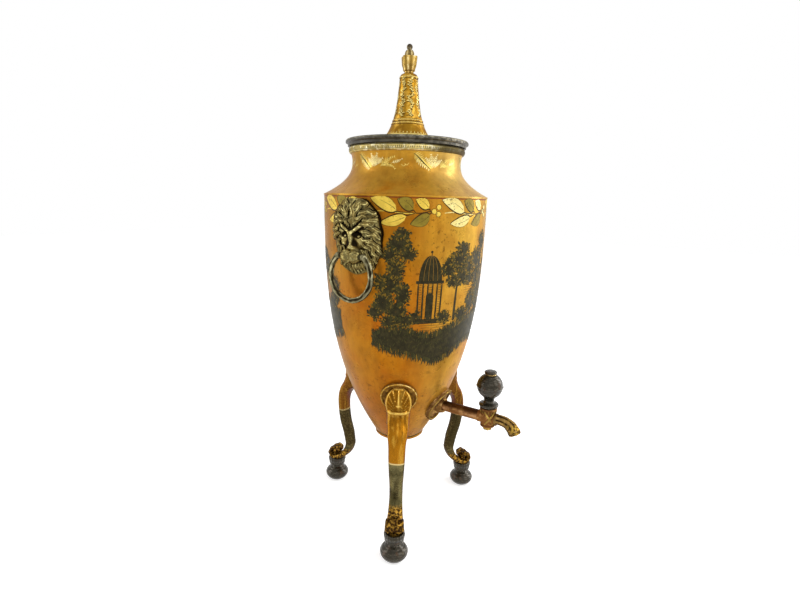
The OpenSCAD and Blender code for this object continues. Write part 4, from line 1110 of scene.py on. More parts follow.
def build_lid(settings):
    """The lid's finish and wired edge, then its spire with the vine, the cup, the bud and the knob."""
    finish_solids(black_japan(), "lid_plate")
    wire_x, wire_z = LID_HIGH.x - LID_WIRE_R, LID_LOW.z + LID_RISE - LID_WIRE_R * 1.5
    Casting(turned([(wire_x + LID_WIRE_R * math.cos(a), wire_z + LID_WIRE_R * math.sin(a)) for a in angles(12)],
                   192)).make("lid_wired_edge", "lid", "black_japan", cast_metal(
                       "rubbed_tin_wire", "#8d8770", "#3d3829", "#d8d2bb", 0.55, 0.36))

    gold = cast_metal("engraved_gilt_spire", "#a87c20", "#6f480f", "#c99c3c", 0.6, 0.28, grain_mm=3, relief_mm=0.05,
                      patches=0.7)
    low, high = SPIRE_LOW.z, SPIRE_HIGH.z
    outer = [(min(spire_radius(z), SPIRE_HIGH.x), z) for z in (low + SPIRE_SIDE_H * t for t in steps(130))]
    cap = [(SPIRE_TOP_R - 0.9, high - 0.9), (SPIRE_TOP_R - 2.6, high), (SPIRE_BORE_R, high), (SPIRE_BORE_R, low)]
    Casting(turned(outer + cap, 96)).make("turned_spire", "lid", "gilt_brass", gold, ["lid_spire"], 40)
    vine = Paint(spire_radius, SPIRE_TOP_R + 2)
    chance = random.Random(VINE_SEED)
    dark, light = range(2)
    start, stop = low + 18.5, high - 5
    pitch = vine.around / settings.columns
    for c in range(settings.columns):
        stem = [Vector((pitch * c + 1.2 * math.sin((z - start) * 0.5 + 1.9 * c) + chance.uniform(-0.35, 0.35), z))
                for z in (start + (stop - start) * t for t in steps(60))]
        for p in stem[::2]:
            for side in (-1, 1):
                size = chance.uniform(1.2, 3.4)
                tip = p + Vector((side * size, size * chance.uniform(-0.2, 1.1)))
                if chance.random() < 0.85:
                    vine.dab(p, tip, chance.uniform(0.25, 0.45), 3, light, side * 0.6)
                # Under each stroke, a dark one a little lower, as its painted shadow
                vine.dab(p + Vector((0.2, -0.75)), tip + Vector((0.3, -0.8)), 0.4, 2, dark, side * 0.6)
    # Painted highlights on the turned rings, with painted shade under them, and a pale line at the foot
    for up, w, tone in ((15.4, 0.6, light), (14.0, 0.5, dark), (12.6, 0.6, light), (11.4, 0.5, dark),
                        (SPIRE_SIDE_H - 2.6, 0.5, dark), (SPIRE_SIDE_H - 1.1, 0.5, light), (1.2, 1.2, light)):
        vine.band(low + up, low + up + w, 1, tone, 48)
    for k in range(COLLAR_TICKS):
        s = vine.around * k / COLLAR_TICKS
        vine.dab((s, low + 2.6), (s + 0.2, low + 4.4), 0.26, 1, light)
    vine.make("spire_vine", "lid", "gilt_brass", [
        brush_paint("engraved_line_and_painted_shadow", "#3d2a0a", "#5d4616", 0.4),
        gold_leaf("spire_gold_leaf", "#f2dc86", "#c29f3e", 0.5)])

    # The cup opens in pointed petals, and the bud stands in it.
    low, rise, r = CUP_LOW.z, CUP_HIGH.z - CUP_LOW.z, CUP_HIGH.x / 1.12
    wall = smooth_rows([(5.0, low), (4.4, low + 1), (4.4, low + 2), (5.5, low + 2.8), (0.8 * r, low + 5),
                        (0.93 * r, low + 7.6), (0.97 * r, low + 10.6), (r, low + rise)], 5)
    inside = [(0.84 * r, low + rise), (0.78 * r, low + 0.6 * rise), (ROD_HOLE_R, low + 0.55 * rise),
              (ROD_HOLE_R, low)]
    shape = turned(wall + inside, 64, settings.petals, lambda z: 0.12 * ease((z - low - 3) / (rise - 3)) ** 1.5)
    Casting(shape, [0.5 + 0.5 * math.cos(2 * settings.petals * math.atan2(p.y, p.x)) for p in shape[0]]).make(
        "petal_cup", "lid", "gilt_brass", cast_metal(
            "gilt_cup", "#d8b052", "#85591c", "#f6e6ac", 0.6, 0.3, hollow_dark=0.5), ["finial_cup"], 40)
    low, rise, r = BUD_LOW.z, BUD_HIGH.z - BUD_LOW.z, BUD_HIGH.x / 1.08
    wall = smooth_rows([(0.8 * r, low), (0.72 * r, low + 0.25 * rise), (0.95 * r, low + 0.55 * rise),
                        (r, low + 0.75 * rise), (0.8 * r, low + 0.93 * rise), (0.55 * r, low + rise)], 5)
    shape = turned(wall + [(ROD_HOLE_R, low + rise), (ROD_HOLE_R, low)], 48, 6, lambda z: 0.08)
    Casting(shape, [0.5 - 0.5 * math.cos(6 * math.atan2(p.y, p.x)) for p in shape[0]]).make(
        "closed_bud", "lid", "aged_bronze", cast_metal(
            "pale_cast_bud", "#b49a5c", "#5b4420", "#efe3b4", 0.6, 0.36, hollow_dark=0.6), ["finial_bud"], 40)
    finish_solids(cast_metal("dark_finial_knob", "#5b5040", "#2c261c", "#a89a78", 0.7, 0.42), "finial_rod")


# ---- Legs and feet ----

LEG_ANGLES = {"rear": 90, "left": 210, "right": 330}
LEG_HEAD_Z = 151
LEG_HEAD_W = 27
ANKLE_W = 13
KNEE_R = 82.2
FOOT_CIRCLE_R = 88
FOOT_H = box_mm("foot_rear")[1].z
FOOT_R = 13.45
FOOT_SCREW_R = 1.9
FOOT_RECESS_R, FOOT_RECESS_H = 3.78, 3.5
SCROLL_R = 8.5
SCROLL_W = 19
SCROLL_STRIP = 5.6
ANKLE_T = 10
PLATE_D = 36
PLATE_T = 2.2
LEG_SEAT = PLATE_T + 2 * SEAT_GAP
ANKLE_Z = FOOT_H + 26
ANKLE_R = FOOT_CIRCLE_R - 20.8
KNEE_Z = (LEG_HEAD_Z + ANKLE_Z) / 2 + 3
SCROLL_Z = FOOT_H + SCROLL_R + 0.6
GILT_LINE_Z = 94
ANKLE_STATIONS, SCROLL_STATIONS = 20, 60


class UrnLegs(PropertyGroup):
    """Fineness and ornament of the legs."""

    sides: IntProperty(name="Sides", description="Facets around a leg", default=72, min=16, max=160)
    petals: IntProperty(name="Petals", description="Petals of the fan on the leg's head, with those that are hidden",
                        default=25, min=7, max=31)
    toes: IntProperty(name="Leaves", description="Leaves across the scroll", default=2, min=1, max=5)


def on_plate(centre_z, angle, radius, out):
    """A circle on the wall, as points at a distance square out of it."""
    found = []
    for a in angles(72):
        z = centre_z + radius * math.sin(a) / wall_lean(centre_z)
        r = wall_radius(z) + out * wall_lean(z)
        turn = math.radians(angle) + math.asin(radius * math.cos(a) / r)
        found.append(Vector((r * math.cos(turn), r * math.sin(turn), z)))
    return found


def leg_head_relief(w, up, side, petals):
    """Relief and hollow on the head and knee: thin ridges that fan out under a raised edge, a ring below them, and
    flutes that die away. Side runs from 0 at the front of the leg to 1 at its edge."""
    if up > -8.5:
        a, out = math.atan2(w, up + 11), math.hypot(w, up + 11)
        ridge = math.exp(-(math.sin(a * petals / 2) / 0.36) ** 2) * ease((out - 3) / 4) * ease((0.84 - side) / 0.12)
        edge = math.exp(-((side - 0.86) / 0.1) ** 2)
        line = max(ridge, edge, math.exp(-((up - 11.6) / 1.1) ** 2))
        return line - 0.45, 0.75 * (1 - line)
    if up > -12.5:
        ring = math.sin(math.pi * (-8.5 - up) / 4)
        return 1.1 * ring, 0.6 - 0.6 * ring
    if up > -34:
        fade = ease((up + 34) / 20)
        flute = abs(math.cos(w * math.pi / 4.6)) ** 0.6
        return 0.5 * flute * fade, 1.1 * (1 - flute) * fade
    return 0.0, 0.0


def leg_stations():
    """The leg's middle line at +X as stations down to the scroll: the middle, the way of the thickness, half the
    thickness, half the width, and the share of the scroll, which is negative above the ankle."""
    head_r, z = wall_radius(LEG_HEAD_Z), LEG_HEAD_Z
    shank = [
        (z + 12.6, head_r + 2, head_r + 5.6, 0.09 * LEG_HEAD_W),
        (z + 11.2, head_r + 0.6, head_r + 8.8, 0.22 * LEG_HEAD_W),
        (z + 8.4, head_r - 1.4, head_r + 11.6, 0.34 * LEG_HEAD_W),
        (z + 4, head_r - 3.4, head_r + 13.2, 0.44 * LEG_HEAD_W),
        (z - 3, head_r - 6, head_r + 14, 0.5 * LEG_HEAD_W),
        (z - 11, head_r - 9, head_r + 15, 0.44 * LEG_HEAD_W),
        (z - 20, head_r - 6, KNEE_R - 8.6, 0.41 * LEG_HEAD_W),
        (z - 29, KNEE_R - 19.4, KNEE_R - 3.4, 0.37 * LEG_HEAD_W),
        (KNEE_Z + 6, KNEE_R - 12, KNEE_R - 0.2, 0.31 * LEG_HEAD_W),
        (KNEE_Z - 8, KNEE_R - 0.2 - 1.05 * ANKLE_T, KNEE_R - 0.2, 0.61 * ANKLE_W),
        (ANKLE_Z + 28, ANKLE_R + 12.8 - 1.1 * ANKLE_T, ANKLE_R + 12.8, 0.56 * ANKLE_W),
        (ANKLE_Z + 14, ANKLE_R + 8.6 - 1.15 * ANKLE_T, ANKLE_R + 8.6, 0.51 * ANKLE_W),
        (ANKLE_Z, ANKLE_R - ANKLE_T / 2, ANKLE_R + ANKLE_T / 2, 0.5 * ANKLE_W)]
    stations = [(Vector(((r0 + r1) / 2, z)), Vector((1, 0)), (r1 - r0) / 2, w, -1.0)
                for z, r0, r1, w in smooth_rows(shank, 10)]
    path_r = SCROLL_R - SCROLL_STRIP / 2
    path = curve_points((ANKLE_R, ANKLE_Z), (ANKLE_R, ANKLE_Z - 8), (FOOT_CIRCLE_R - 11, SCROLL_Z - path_r),
                        (FOOT_CIRCLE_R, SCROLL_Z - path_r), ANKLE_STATIONS)
    for t in steps(SCROLL_STATIONS)[1:]:
        a, r = math.radians(-90 + 285 * t), path_r * (1 - 0.56 * t ** 1.5)
        path.append(Vector((FOOT_CIRCLE_R + r * math.cos(a), SCROLL_Z + r * math.sin(a))))
    for i in range(1, len(path)):
        step = (path[min(i + 1, len(path) - 1)] - path[i - 1]).normalized()
        spread = min(i / ANKLE_STATIONS, 1)
        t = max(i - ANKLE_STATIONS, 0) / SCROLL_STATIONS
        half_t = (ANKLE_T + (SCROLL_STRIP - ANKLE_T) * spread) / 2 - 1.1 * t
        half_w = (ANKLE_W + (SCROLL_W - ANKLE_W) * spread ** 2) / 2 * (1 - 0.12 * t)
        stations.append((path[i], left_of(step), half_t, half_w, t))
    return stations


def leg_shape(settings):
    """One leg at +X, with its foot at the far end of its path, as points and faces, and how hollow each point is, with
    painted shade on the sides of the head and shank.
    """
    stations = leg_stations()
    points, hollow = [], []
    for middle, way, half_t, half_w, t in stations:
        for a in angles(settings.sides):
            front = math.cos(a)
            thick = half_t * math.copysign(abs(front) ** 0.8, front)
            w = half_w * math.copysign(abs(math.sin(a)) ** 0.8, math.sin(a))
            if t < 0:
                relief, deep = leg_head_relief(w, middle.y - LEG_HEAD_Z, abs(math.sin(a)), settings.petals)
                turned_out = ease(front * 2.2)
                thick += relief * turned_out
                # The sides of the head and shank get painted shade, stored with the hollow
                deep = max(deep * turned_out, 0.55 * ease((0.66 - front) * 1.6))
            else:
                across, down = math.pi * settings.toes * w / half_w, 8 * math.pi * t
                leaves = 0.5 + 0.25 * (math.cos(across + down) + math.cos(across - down + 1.1))
                turned_out = ease(-front * 1.8) * ease(t * 7 - 0.4)
                thick -= (1.3 * leaves - 0.6) * turned_out
                deep = (1 - leaves) ** 1.5 * turned_out
            x, z = middle.x + thick * way.x, middle.y + thick * way.y
            # Near its head the leg stays clear of the wall by the plate behind it.
            if LEG_HEAD_Z - 36 < z < LEG_HEAD_Z + 24:
                seat = wall_radius(z) + LEG_SEAT * wall_lean(z)
                x = max(x, math.sqrt(max(seat * seat - w * w, 0)))
            points.append(Vector((x, w, z)))
            hollow.append(clamp(deep))
    rows = len(stations)
    return (points, grid_faces(rows, settings.sides, closed_columns=True) + end_faces(rows, settings.sides)), hollow


def leg_metal(name, gilt, dark, high, under):
    """Cast brass, lacquered gold down to a line across the shank, bare and greyed under it, and gilt again on the dark
    scroll, with painted shade and highlight streaks down the gilding, painted shade on the leg's sides and painted
    highlight on the crests of its head."""
    metal = Finish(name, gilt, metallic=0.6, specular_ior_level=0.2, specular_tint=linear("#8f7340"))
    metal.coat(dark, metal.mottle(20, 0.36, 0.7, detail=2.5, stretch=(1, 1, 0.3), shift=15.0), 0.75)
    # Long dark and bright streaks down the gilding: painted shade and painted highlight
    metal.coat("#4c2b08", metal.mottle(3.2, 0.52, 0.7, detail=3.0, stretch=(1, 1, 0.12), shift=15.3), 0.5)
    metal.coat("#d6a43e", metal.mottle(4.2, 0.52, 0.66, detail=2.0, stretch=(1, 1, 0.12), shift=15.9), 0.55)
    gilding = metal.new_ground(under)
    speckle = metal.mottle(2.4, 0.5, 0.62, detail=5.0, shift=15.5)
    metal.coat("#877a4e", speckle, 0.6)
    metal.coat("#474127", metal.mottle(12, 0.46, 0.62, stretch=(1, 1, 0.5), shift=15.8))
    upper = metal.above(GILT_LINE_Z, 0.8)
    metal.coat(gilding, upper)
    shank = metal.new_ground("#35210f")
    metal.coat("#bd9038", metal.mottle(2.1, 0.46, 0.62, detail=2.0, shift=16.1), 0.85)
    metal.coat(shank, metal.above(FOOT_H + 18, 4))
    metal.coat("#e0cc90", upper, metal.above(GILT_LINE_Z + 1.3, 0.8, 1, 0), 0.85)
    # Dark in the hollows, and painted shade on the leg's sides, which leg_shape stores with them
    metal.coat("#2c1a06", metal.hollow(0, 1), 0.8)
    # Rubbed wear and painted highlight on the crests of the head
    metal.coat(high, metal.hollow(0.3, 0.0), metal.mottle(5, 0.36, 0.6, shift=16.6, least=0.6),
               metal.above(LEG_HEAD_Z - 12, 5), 0.9)
    speckled_below = metal.overlap(speckle, metal.above(GILT_LINE_Z, 0.8, 1.0, 0.2))
    return metal.done(metal.mottle(2.2, 0.2, 0.8, detail=6.0, shift=17.0), 0.07,
                      roughness=(speckled_below, 0.27, 0.48))


def foot_profile():
    """A turned foot: a flattened ball with cut lines, a thin neck, and a collar whose lip holds the scroll."""
    r, h = FOOT_R, FOOT_H
    rows = smooth_rows([(0.44 * r, 0.0), (0.6 * r, 0.02 * h), (0.8 * r, 0.09 * h), (0.93 * r, 0.18 * h),
                        (0.99 * r, 0.26 * h), (r, 0.32 * h), (0.97 * r, 0.38 * h), (0.86 * r, 0.46 * h),
                        (0.68 * r, 0.53 * h), (0.51 * r, 0.585 * h), (0.43 * r, 0.63 * h), (0.43 * r, 0.67 * h)], 6)
    flat_ball = [(x - 0.45 * sum(bell(z, 0, cut * h, 0, 0.35, 1) for cut in (0.27, 0.4, 0.52)), max(z, 0))
                 for x, z in rows]
    collar = [(8.0, 0.7 * h), (9.2, 0.73 * h), (9.6, 0.79 * h), (9.1, 0.83 * h), (9.5, 0.86 * h), (10.1, 0.93 * h),
              (10.1, h), (9.4, h + 1.5), (8.3, h + 1.7), (7.2, h + 0.9), (6.9, h)]
    bore = [(FOOT_SCREW_R, h), (FOOT_SCREW_R, FOOT_RECESS_H), (FOOT_RECESS_R, FOOT_RECESS_H)]
    return [(FOOT_RECESS_R, 0)] + flat_ball + collar + bore


def build_legs(settings):
    """The three legs with their plates, beads and feet, and the iron that fastens them."""
    wood = stained_wood()
    gilt = leg_metal("gilt_cast_brass", "#b07416", "#75460c", "#f2cf6c", "#726a46")
    # The two rear legs get a darker, browner copy of the gilt, as painted shade
    browned_shaded = leg_metal("browned_shaded_cast_brass", "#925e20", "#573410", "#cf9f4e", "#50462a")
    bead_gold = cast_metal("gilt_bead", "#c79a3e", "#7a5420", "#ecd28a", 0.7, 0.34)
    plate = cast_metal("browned_plate", "#8b5f20", "#3d2a12", "#a47c36", 0.5, 0.4, patches=0.8)
    shape, hollow = leg_shape(settings)
    stub = moved(turned([(FOOT_SCREW_R, 0), (6.5, 0), (6.5, 3.6), (FOOT_SCREW_R, 3.6)], 48),
                 (FOOT_CIRCLE_R, 0, FOOT_H))
    turned_foot = moved(turned(foot_profile(), 160, 20, lambda z: 0.022 * ease((z - 0.74 * FOOT_H) / 3)),
                        (FOOT_CIRCLE_R, 0, 0))
    for name, angle in LEG_ANGLES.items():
        leg = Casting(shape, hollow)
        leg.put(stub, 0.4)
        leg.turn(angle)
        leg.make("cast_leg_" + name, "urn", "gilt_brass", gilt if name == "left" else browned_shaded, ["leg_" + name], 50)
        rim = on_plate(LEG_HEAD_Z, angle, PLATE_D / 2 - 0.8, SEAT_GAP + PLATE_T + 0.75)
        Casting(sweep(rim, lambda t: ridged(0.6, 10), (0, 0, 1), closed=True)).make(
            "plate_bead_" + name, "urn", "gilt_brass", bead_gold)
        finish_solids(plate, "leg_plate_" + name)
        foot = Casting(turned_foot)
        foot.turn(angle)
        foot.make("turned_foot_" + name, "urn", "ebonised_wood", wood, ["foot_" + name])
    finish_solids(cast_metal("blackened_iron", "#4a4640", "#2c2926", "#77716a", 0.7, 0.55),
                  "leg_bolts", "foot_screws")


# ---- Lion masks and rings ----

MASK_Z = SHOULDER_Z - 35
MASK_W, MASK_H = 51, 67
MANE_T, JAW_T = 9, 3.6
PIN_DROP = 16.5
PIN_Z = MASK_Z - PIN_DROP
PIN_X = wall_radius(PIN_Z) + 9.6
RING_WIRE = 5.4
RING_R = (49 - RING_WIRE) / 2
RING_OPEN = math.radians(38)
RING_Z = PIN_Z - RING_R * math.cos(RING_OPEN)
ARM_Y = RING_R * math.sin(RING_OPEN)
MUZZLE_W = 2 * (ARM_Y - (RING_WIRE + 0.5) / 2 - 0.6)
# Each row of the mane, as where its locks start and end, the share of locks, and their height
MANE_ROWS = ((0.76, 1.05, 1.0, 2.2), (0.6, 0.92, 0.84, 2.8), (0.47, 0.76, 0.62, 2.8))
MANE_FROM, MANE_TO = math.radians(-52), math.radians(232)
RING_SIDES, RING_STATIONS = 32, 180


class UrnMasks(PropertyGroup):
    """Hair of the lion masks."""

    locks: IntProperty(name="Locks", description="Locks in the outer row of the mane", default=19, min=9, max=31)
    seed: IntProperty(name="Seed", description="Changes how the mane falls", default=3, min=0)


def mask_edge(a):
    """Distance from the middle of the mask to its outline."""
    oval = (abs(math.cos(a)) / (MASK_W / 2)) ** 2.3 + (abs(math.sin(a)) / (MASK_H / 2)) ** 2.3
    return (1 - 0.035 * (1 + math.cos(11 * a + math.pi / 2)) / 2) / oval ** (1 / 2.3)


def lion_relief(x, y, out):
    """Height of the lion's face over the wall."""
    side = abs(x)
    height = (JAW_T + (MANE_T - JAW_T) * ease((y + 12) / 14)) * (1 - 0.3 * out ** 6) - 1.2 * ease((out - 0.5) * 4)
    # Brows that slant, eyes in their sockets, and the bridge of the nose
    brow_y = 3.4 + 0.62 * side
    height += 2.6 * math.exp(-((y - brow_y) / 1.9) ** 2) * math.exp(-((side - 6.5) / 6.0) ** 2)
    height -= 3.4 * bell(side, y, 7.4, 1.8, 3.4, 2.4)
    height += 1.9 * bell(side, y, 7.2, 1.2, 1.7, 1.2)
    height += 3.0 * math.exp(-(x / 2.7) ** 2) * ease((8 - y) / 5) * ease((y + 13) / 4)
    # Nose, cheeks, whisker pads, the muzzle that holds the ring, the mouth and the chin
    height += 2.4 * bell(x, y, 0, -8.5, 4.2, 2.2)
    height += 2.2 * bell(side, y, 9.5, -6, 4.2, 4.4)
    height += 3.4 * bell(side, y, 4.3, -12, 4.2, 4.2)
    height += 3.8 * bell(x, y, 0, 2 - PIN_DROP, 6, 7)
    height -= 2.2 * bell(x, y, 0, -20.5, 6.5, 1.3)
    height += 3.6 * bell(x, y, 0, -25, 5.4, 3.2)
    return max(height, 0.4)


def mask_point(x, y, height):
    """A point over the wall on a mask at +X."""
    z = MASK_Z + y
    return Vector((math.sqrt(wall_radius(z) ** 2 - x * x) + SEAT_GAP + height, x, z))


def lion_face():
    """The face as a disc of rings, with its back, and how hollow each point is."""
    around, rings = 132, 34
    points, hollow = [], []
    for j in range(rings + 1):
        out = max(j, 0.05) / rings
        for a in angles(around):
            x, y = mask_edge(a) * out * math.cos(a), mask_edge(a) * out * math.sin(a)
            height = lion_relief(x, y, out)
            near = sum(lion_relief(x + dx, y + dy, out) for dx, dy in ((1.6, 0), (-1.6, 0), (0, 1.6), (0, -1.6))) / 4
            points.append(mask_point(x, y, height))
            hollow.append(clamp(0.34 + 1.5 * (near - height)))
    points += [mask_point(mask_edge(a) * math.cos(a), mask_edge(a) * math.sin(a), 0) for a in angles(around)]
    hollow += [1.0] * around
    return (points, grid_faces(rings + 2, around, closed_columns=True)), hollow


def mane_lock(root, tip, half_w, height, curl):
    """One lock of hair from its root to its tip: a grooved ridge that swings to one side and back."""
    root, tip = Vector(root), Vector(tip)
    along = tip - root
    left = left_of(along).normalized()
    points, hollow = [], []
    length_steps, across = 14, 12
    for t in steps(length_steps):
        middle = root + along * t + left * curl * (math.sin(2 * math.pi * t) * 0.6 + t * t)
        width = half_w * (0.25 + 0.75 * math.sin(math.pi * min(t * 0.8 + 0.12, 1)) ** 0.7)
        for i in range(across + 1):
            u = 2 * i / across - 1
            groove = 0.5 + 0.5 * math.cos(3 * math.pi * u)
            at = middle + left * width * u
            out = at.length / mask_edge(math.atan2(at.y, at.x))
            if out > 1.03:
                at = at * (1.03 / out)
            rise = height * math.sqrt(max(1 - u * u, 0)) * (0.35 + 0.65 * math.sin(math.pi * (0.15 + 0.8 * t)))
            ground = max(lion_relief(at.x, at.y, min(out, 1)), 0.4)
            points.append(mask_point(at.x, at.y, ground + rise - 0.35 * (1 - groove) - 0.2))
            # The lock is dark on its flanks, as painted shade between the locks, and in its grooves
            hollow.append(min(1.0, 0.95 * abs(u) ** 3 + 0.42 * (1 - groove)))
    return (points, grid_faces(length_steps + 1, across + 1)), hollow


def build_mask(side, settings, bronze):
    """One mask: the face, its hair, and the ribbed muzzle that holds the ring."""
    chance = random.Random(settings.seed)
    mask = Casting(*lion_face())
    for row, (inner, outer, share, rise) in enumerate(MANE_ROWS):
        count = round(settings.locks * share)
        for k in range(count):
            a = MANE_FROM + (MANE_TO - MANE_FROM) * (k + 0.5 * (row % 2)) / (count - 0.5)
            swing = chance.uniform(-0.14, 0.14) + (0.16 if math.cos(a) > 0 else -0.16)
            edge = mask_edge(a)
            root = (edge * inner * math.cos(a), edge * inner * math.sin(a) + 1)
            tip = (edge * outer * math.cos(a - swing), edge * outer * math.sin(a - swing) - 1.5)
            mask.put(*mane_lock(root, tip, chance.uniform(2.3, 3.3), rise * chance.uniform(0.8, 1.1),
                                chance.uniform(-3.2, 3.2)))
    # The beard, the tufts over the nose, and the forelock
    for k in range(9):
        x = -12 + 3 * k
        root, tip = (x * 0.75, -22.5 + abs(x) * 0.2), (x * 1.05, -33.2 + abs(x) * 0.5)
        mask.put(*mane_lock(root, tip, 1.9, 1.9, chance.uniform(-1.6, 1.6)))
    for x in (-1, 1):
        for k in range(3):
            root, tip = (x * (2 + 1.8 * k), 8 + 1.4 * k), (x * (5.5 + 2.4 * k), 15 + 1.0 * k)
            mask.put(*mane_lock(root, tip, 1.5, 1.5, x * 1.6))
    for k in range(5):
        x = 3.4 * (k - 2)
        root, tip = (x * 0.8, 17 - abs(x) * 0.3), (x * 1.15 + chance.uniform(-1, 1), 31 - abs(x) * 0.25)
        mask.put(*mane_lock(root, tip, 2.6, 2.8, chance.choice((-3, 3))))
    muzzle = [Vector((PIN_X - 0.2, (0.5 - t) * MUZZLE_W, PIN_Z)) for t in steps(24)]
    mask.put(sweep(muzzle, lambda t: ridged(
        (6.4 - 1.5 * bell(t, 0, 0.5, 0, 0.1, 1)) * (1 - abs(2 * t - 1) ** 3) ** 0.4 + 0.1, 28, 7, 0.9),
        (0, 0, 1)), 0.25)
    if side == "left":
        mask.turn(180)
    mask.make("lion_mask_" + side, "urn", "aged_bronze", bronze, ["mask_" + side], 60)


def ring_radius(t, a):
    """The ring's wire, with slow ridges that wind about it and a rough, pitted cast."""
    ridge = 0.2 * math.cos(4 * a + 9 * t) - 0.06
    return RING_WIRE / 2 + ridge + 0.36 * noise.noise(Vector((1.6 * math.cos(a), 1.6 * math.sin(a), 26 * t))) - 0.14


def build_ring(side, bronze):
    """One open ring with the pin that it hangs on."""
    arc = [RING_OPEN + (2 * math.pi - 2 * RING_OPEN) * t for t in steps(RING_STATIONS)]
    path = [Vector((PIN_X, RING_R * math.sin(a), RING_Z + RING_R * math.cos(a))) for a in arc]
    around = angles(RING_SIDES)
    wire = sweep(path, lambda t: [(ring_radius(t, a) * math.cos(a), ring_radius(t, a) * math.sin(a)) for a in around],
                 (1, 0, 0))
    ring = Casting(wire, [clamp((RING_WIRE / 2 - ring_radius(t, a)) / 0.62)
                          for t in steps(RING_STATIONS) for a in around])
    pin = [Vector((PIN_X, y, PIN_Z)) for y in (-ARM_Y, -ARM_Y / 2, 0, ARM_Y / 2, ARM_Y)]
    ring.put(sweep(pin, lambda t: ridged(RING_WIRE / 2 - 0.3, 24), (0, 0, 1)), 0.5)
    for y in (-ARM_Y, ARM_Y):
        ring.put(ball((PIN_X, y, PIN_Z), RING_WIRE / 2 + 0.25, 12, 24), 0.2)
    if side == "left":
        ring.turn(180)
    ring.make("bail_ring_" + side, "handle_" + side, "aged_bronze", bronze, ["ring_" + side])


def build_masks(settings):
    """Both lion masks with their rings."""
    # The bronze's black hollows and pale crests are partly painted shade and painted highlight
    bronze = cast_metal("browned_bronze", "#6a531f", "#21180a", "#fff0a0", 0.75, 0.26, grain_mm=1.6, relief_mm=0.14,
                        hollow_dark=1.0, patches=0.95, patch_mm=6)
    ring_bronze = cast_metal("grey_worn_bronze", "#605a3e", "#221c10", "#d8d0a4", 0.65, 0.32, grain_mm=2.4,
                             relief_mm=0.3, hollow_dark=0.9, patches=0.75)
    for side in ("left", "right"):
        build_mask(side, settings, bronze)
        build_ring(side, ring_bronze)


# ---- Tap ----

TAP_Z = 131
TAP_REACH = 101
TAP_FLANGE_D = 37
BARREL_R = 7.6
SPOUT_R = 5.3
PORT_D = 4.6
SPOUT_START = TAP_REACH + 7.6
SPOUT_OUT = 22
SPOUT_DROP = 10.5
SPOUT_STATIONS, SPOUT_SIDES = 48, 56
KNOB_R = 12.5
KNOB_NECK_R = 4.75
KNOB_BORE_R = 2.28
KNOB_LOW, KNOB_HIGH = box_mm("tap_knob")
COLLAR_LOW, COLLAR_HIGH = box_mm("knob_collar")
BARREL_LOW, BARREL_HIGH = box_mm("tap_barrel")


class UrnTap(PropertyGroup):
    """Ornament of the tap."""

    flutes: IntProperty(name="Flutes", description="Ridges along the spout", default=7, min=3, max=12)
    cut_lines: IntProperty(name="Cut lines", description="Pairs of lines turned into the wooden knob", default=2,
                           min=0, max=4)


def spout_face(t, a, flutes):
    """The spout's outer radius and hollow: ridges from its root that turn to scales by its rolled lip."""
    ridge = abs(math.cos(flutes * a / 2)) ** 0.7
    scale = 0.5 + 0.5 * math.cos(2 * math.pi * (9 * t + 0.5 * round(a * flutes / math.pi)))
    tail = ease((t - 0.45) * 3)
    radius = SPOUT_R * (1 + 0.04 * math.sin(math.pi * t)) + 0.5 * tail
    radius += -0.55 * (1 - ridge) * (1 - 0.5 * tail) + 0.35 * scale * tail - 0.25
    radius += 0.5 * bell(t, 0, 0.93, 0, 0.06, 1)
    return radius, (1 - ridge) * (1 - 0.4 * tail) + 0.5 * (1 - scale) * tail


def build_spout(settings, metal):
    """The spout: a ridged bend that ends in a rolled lip, on a collar of leaves."""
    path = curve_points((SPOUT_START + 0.9, 0.5), (SPOUT_START + 0.45 * SPOUT_OUT, 1.4),
                        (SPOUT_START + 0.72 * SPOUT_OUT, -0.05 * SPOUT_DROP),
                        (SPOUT_START + SPOUT_OUT - 1.6, 0.9 - SPOUT_DROP), SPOUT_STATIONS)
    there = range(SPOUT_STATIONS + 1)
    points, hollow = [], []
    # Down the outer face to the lip, and back up the bore
    for i, inside in [(i, False) for i in there] + [(i, True) for i in reversed(there)]:
        t = i / SPOUT_STATIONS
        over = left_of(path[min(i + 1, SPOUT_STATIONS)] - path[max(i - 1, 0)]).normalized()
        for a in angles(SPOUT_SIDES):
            r, deep = (PORT_D / 2 + 0.5 * t, 1.0) if inside else spout_face(t, a, settings.flutes)
            points.append(Vector((path[i].x + r * math.cos(a) * over.x, r * math.sin(a),
                                  TAP_Z + path[i].y + r * math.cos(a) * over.y)))
            hollow.append(min(deep, 1))
    spout = Casting((points, grid_faces(2 * len(path), SPOUT_SIDES, closed_rows=True, closed_columns=True)), hollow)
    collar = [Vector((SPOUT_START + x, 0, TAP_Z)) for x in (0, 0.5, 1, 1.5, 2)]
    spout.put(sweep(collar, lambda t: ridged(SPOUT_R + 0.8 - 0.3 * abs(2 * t - 1), 48, 12, 0.4), (0, 0, 1)), 0.3)
    spout.turn(-90)
    spout.make("ridged_spout", "urn", "tap_brass", metal, ["tap_spout"], 50)


def pipe_painted_reflection_and_highlight(metal):
    """Painted dark reflection on top of the pipe, with a painted highlight streak along its side."""
    metal.coat("#2c190c", metal.above(TAP_Z + 2.6, 3), 0.8)
    metal.coat("#cf9f70", metal.above(TAP_Z - 1.2, 2), metal.above(TAP_Z + 1.6, 2, 1, 0),
               metal.mottle(9, 0.36, 0.6, stretch=(1, 0.3, 1), shift=18.5))


def spout_gilding(metal):
    """What is left of the gilding toward the spout's mouth."""
    metal.coat("#b8943c", metal.along((0, -1, 0), TAP_REACH + 16, TAP_REACH + 30),
               metal.mottle(2.2, 0.5, 0.6, shift=18))


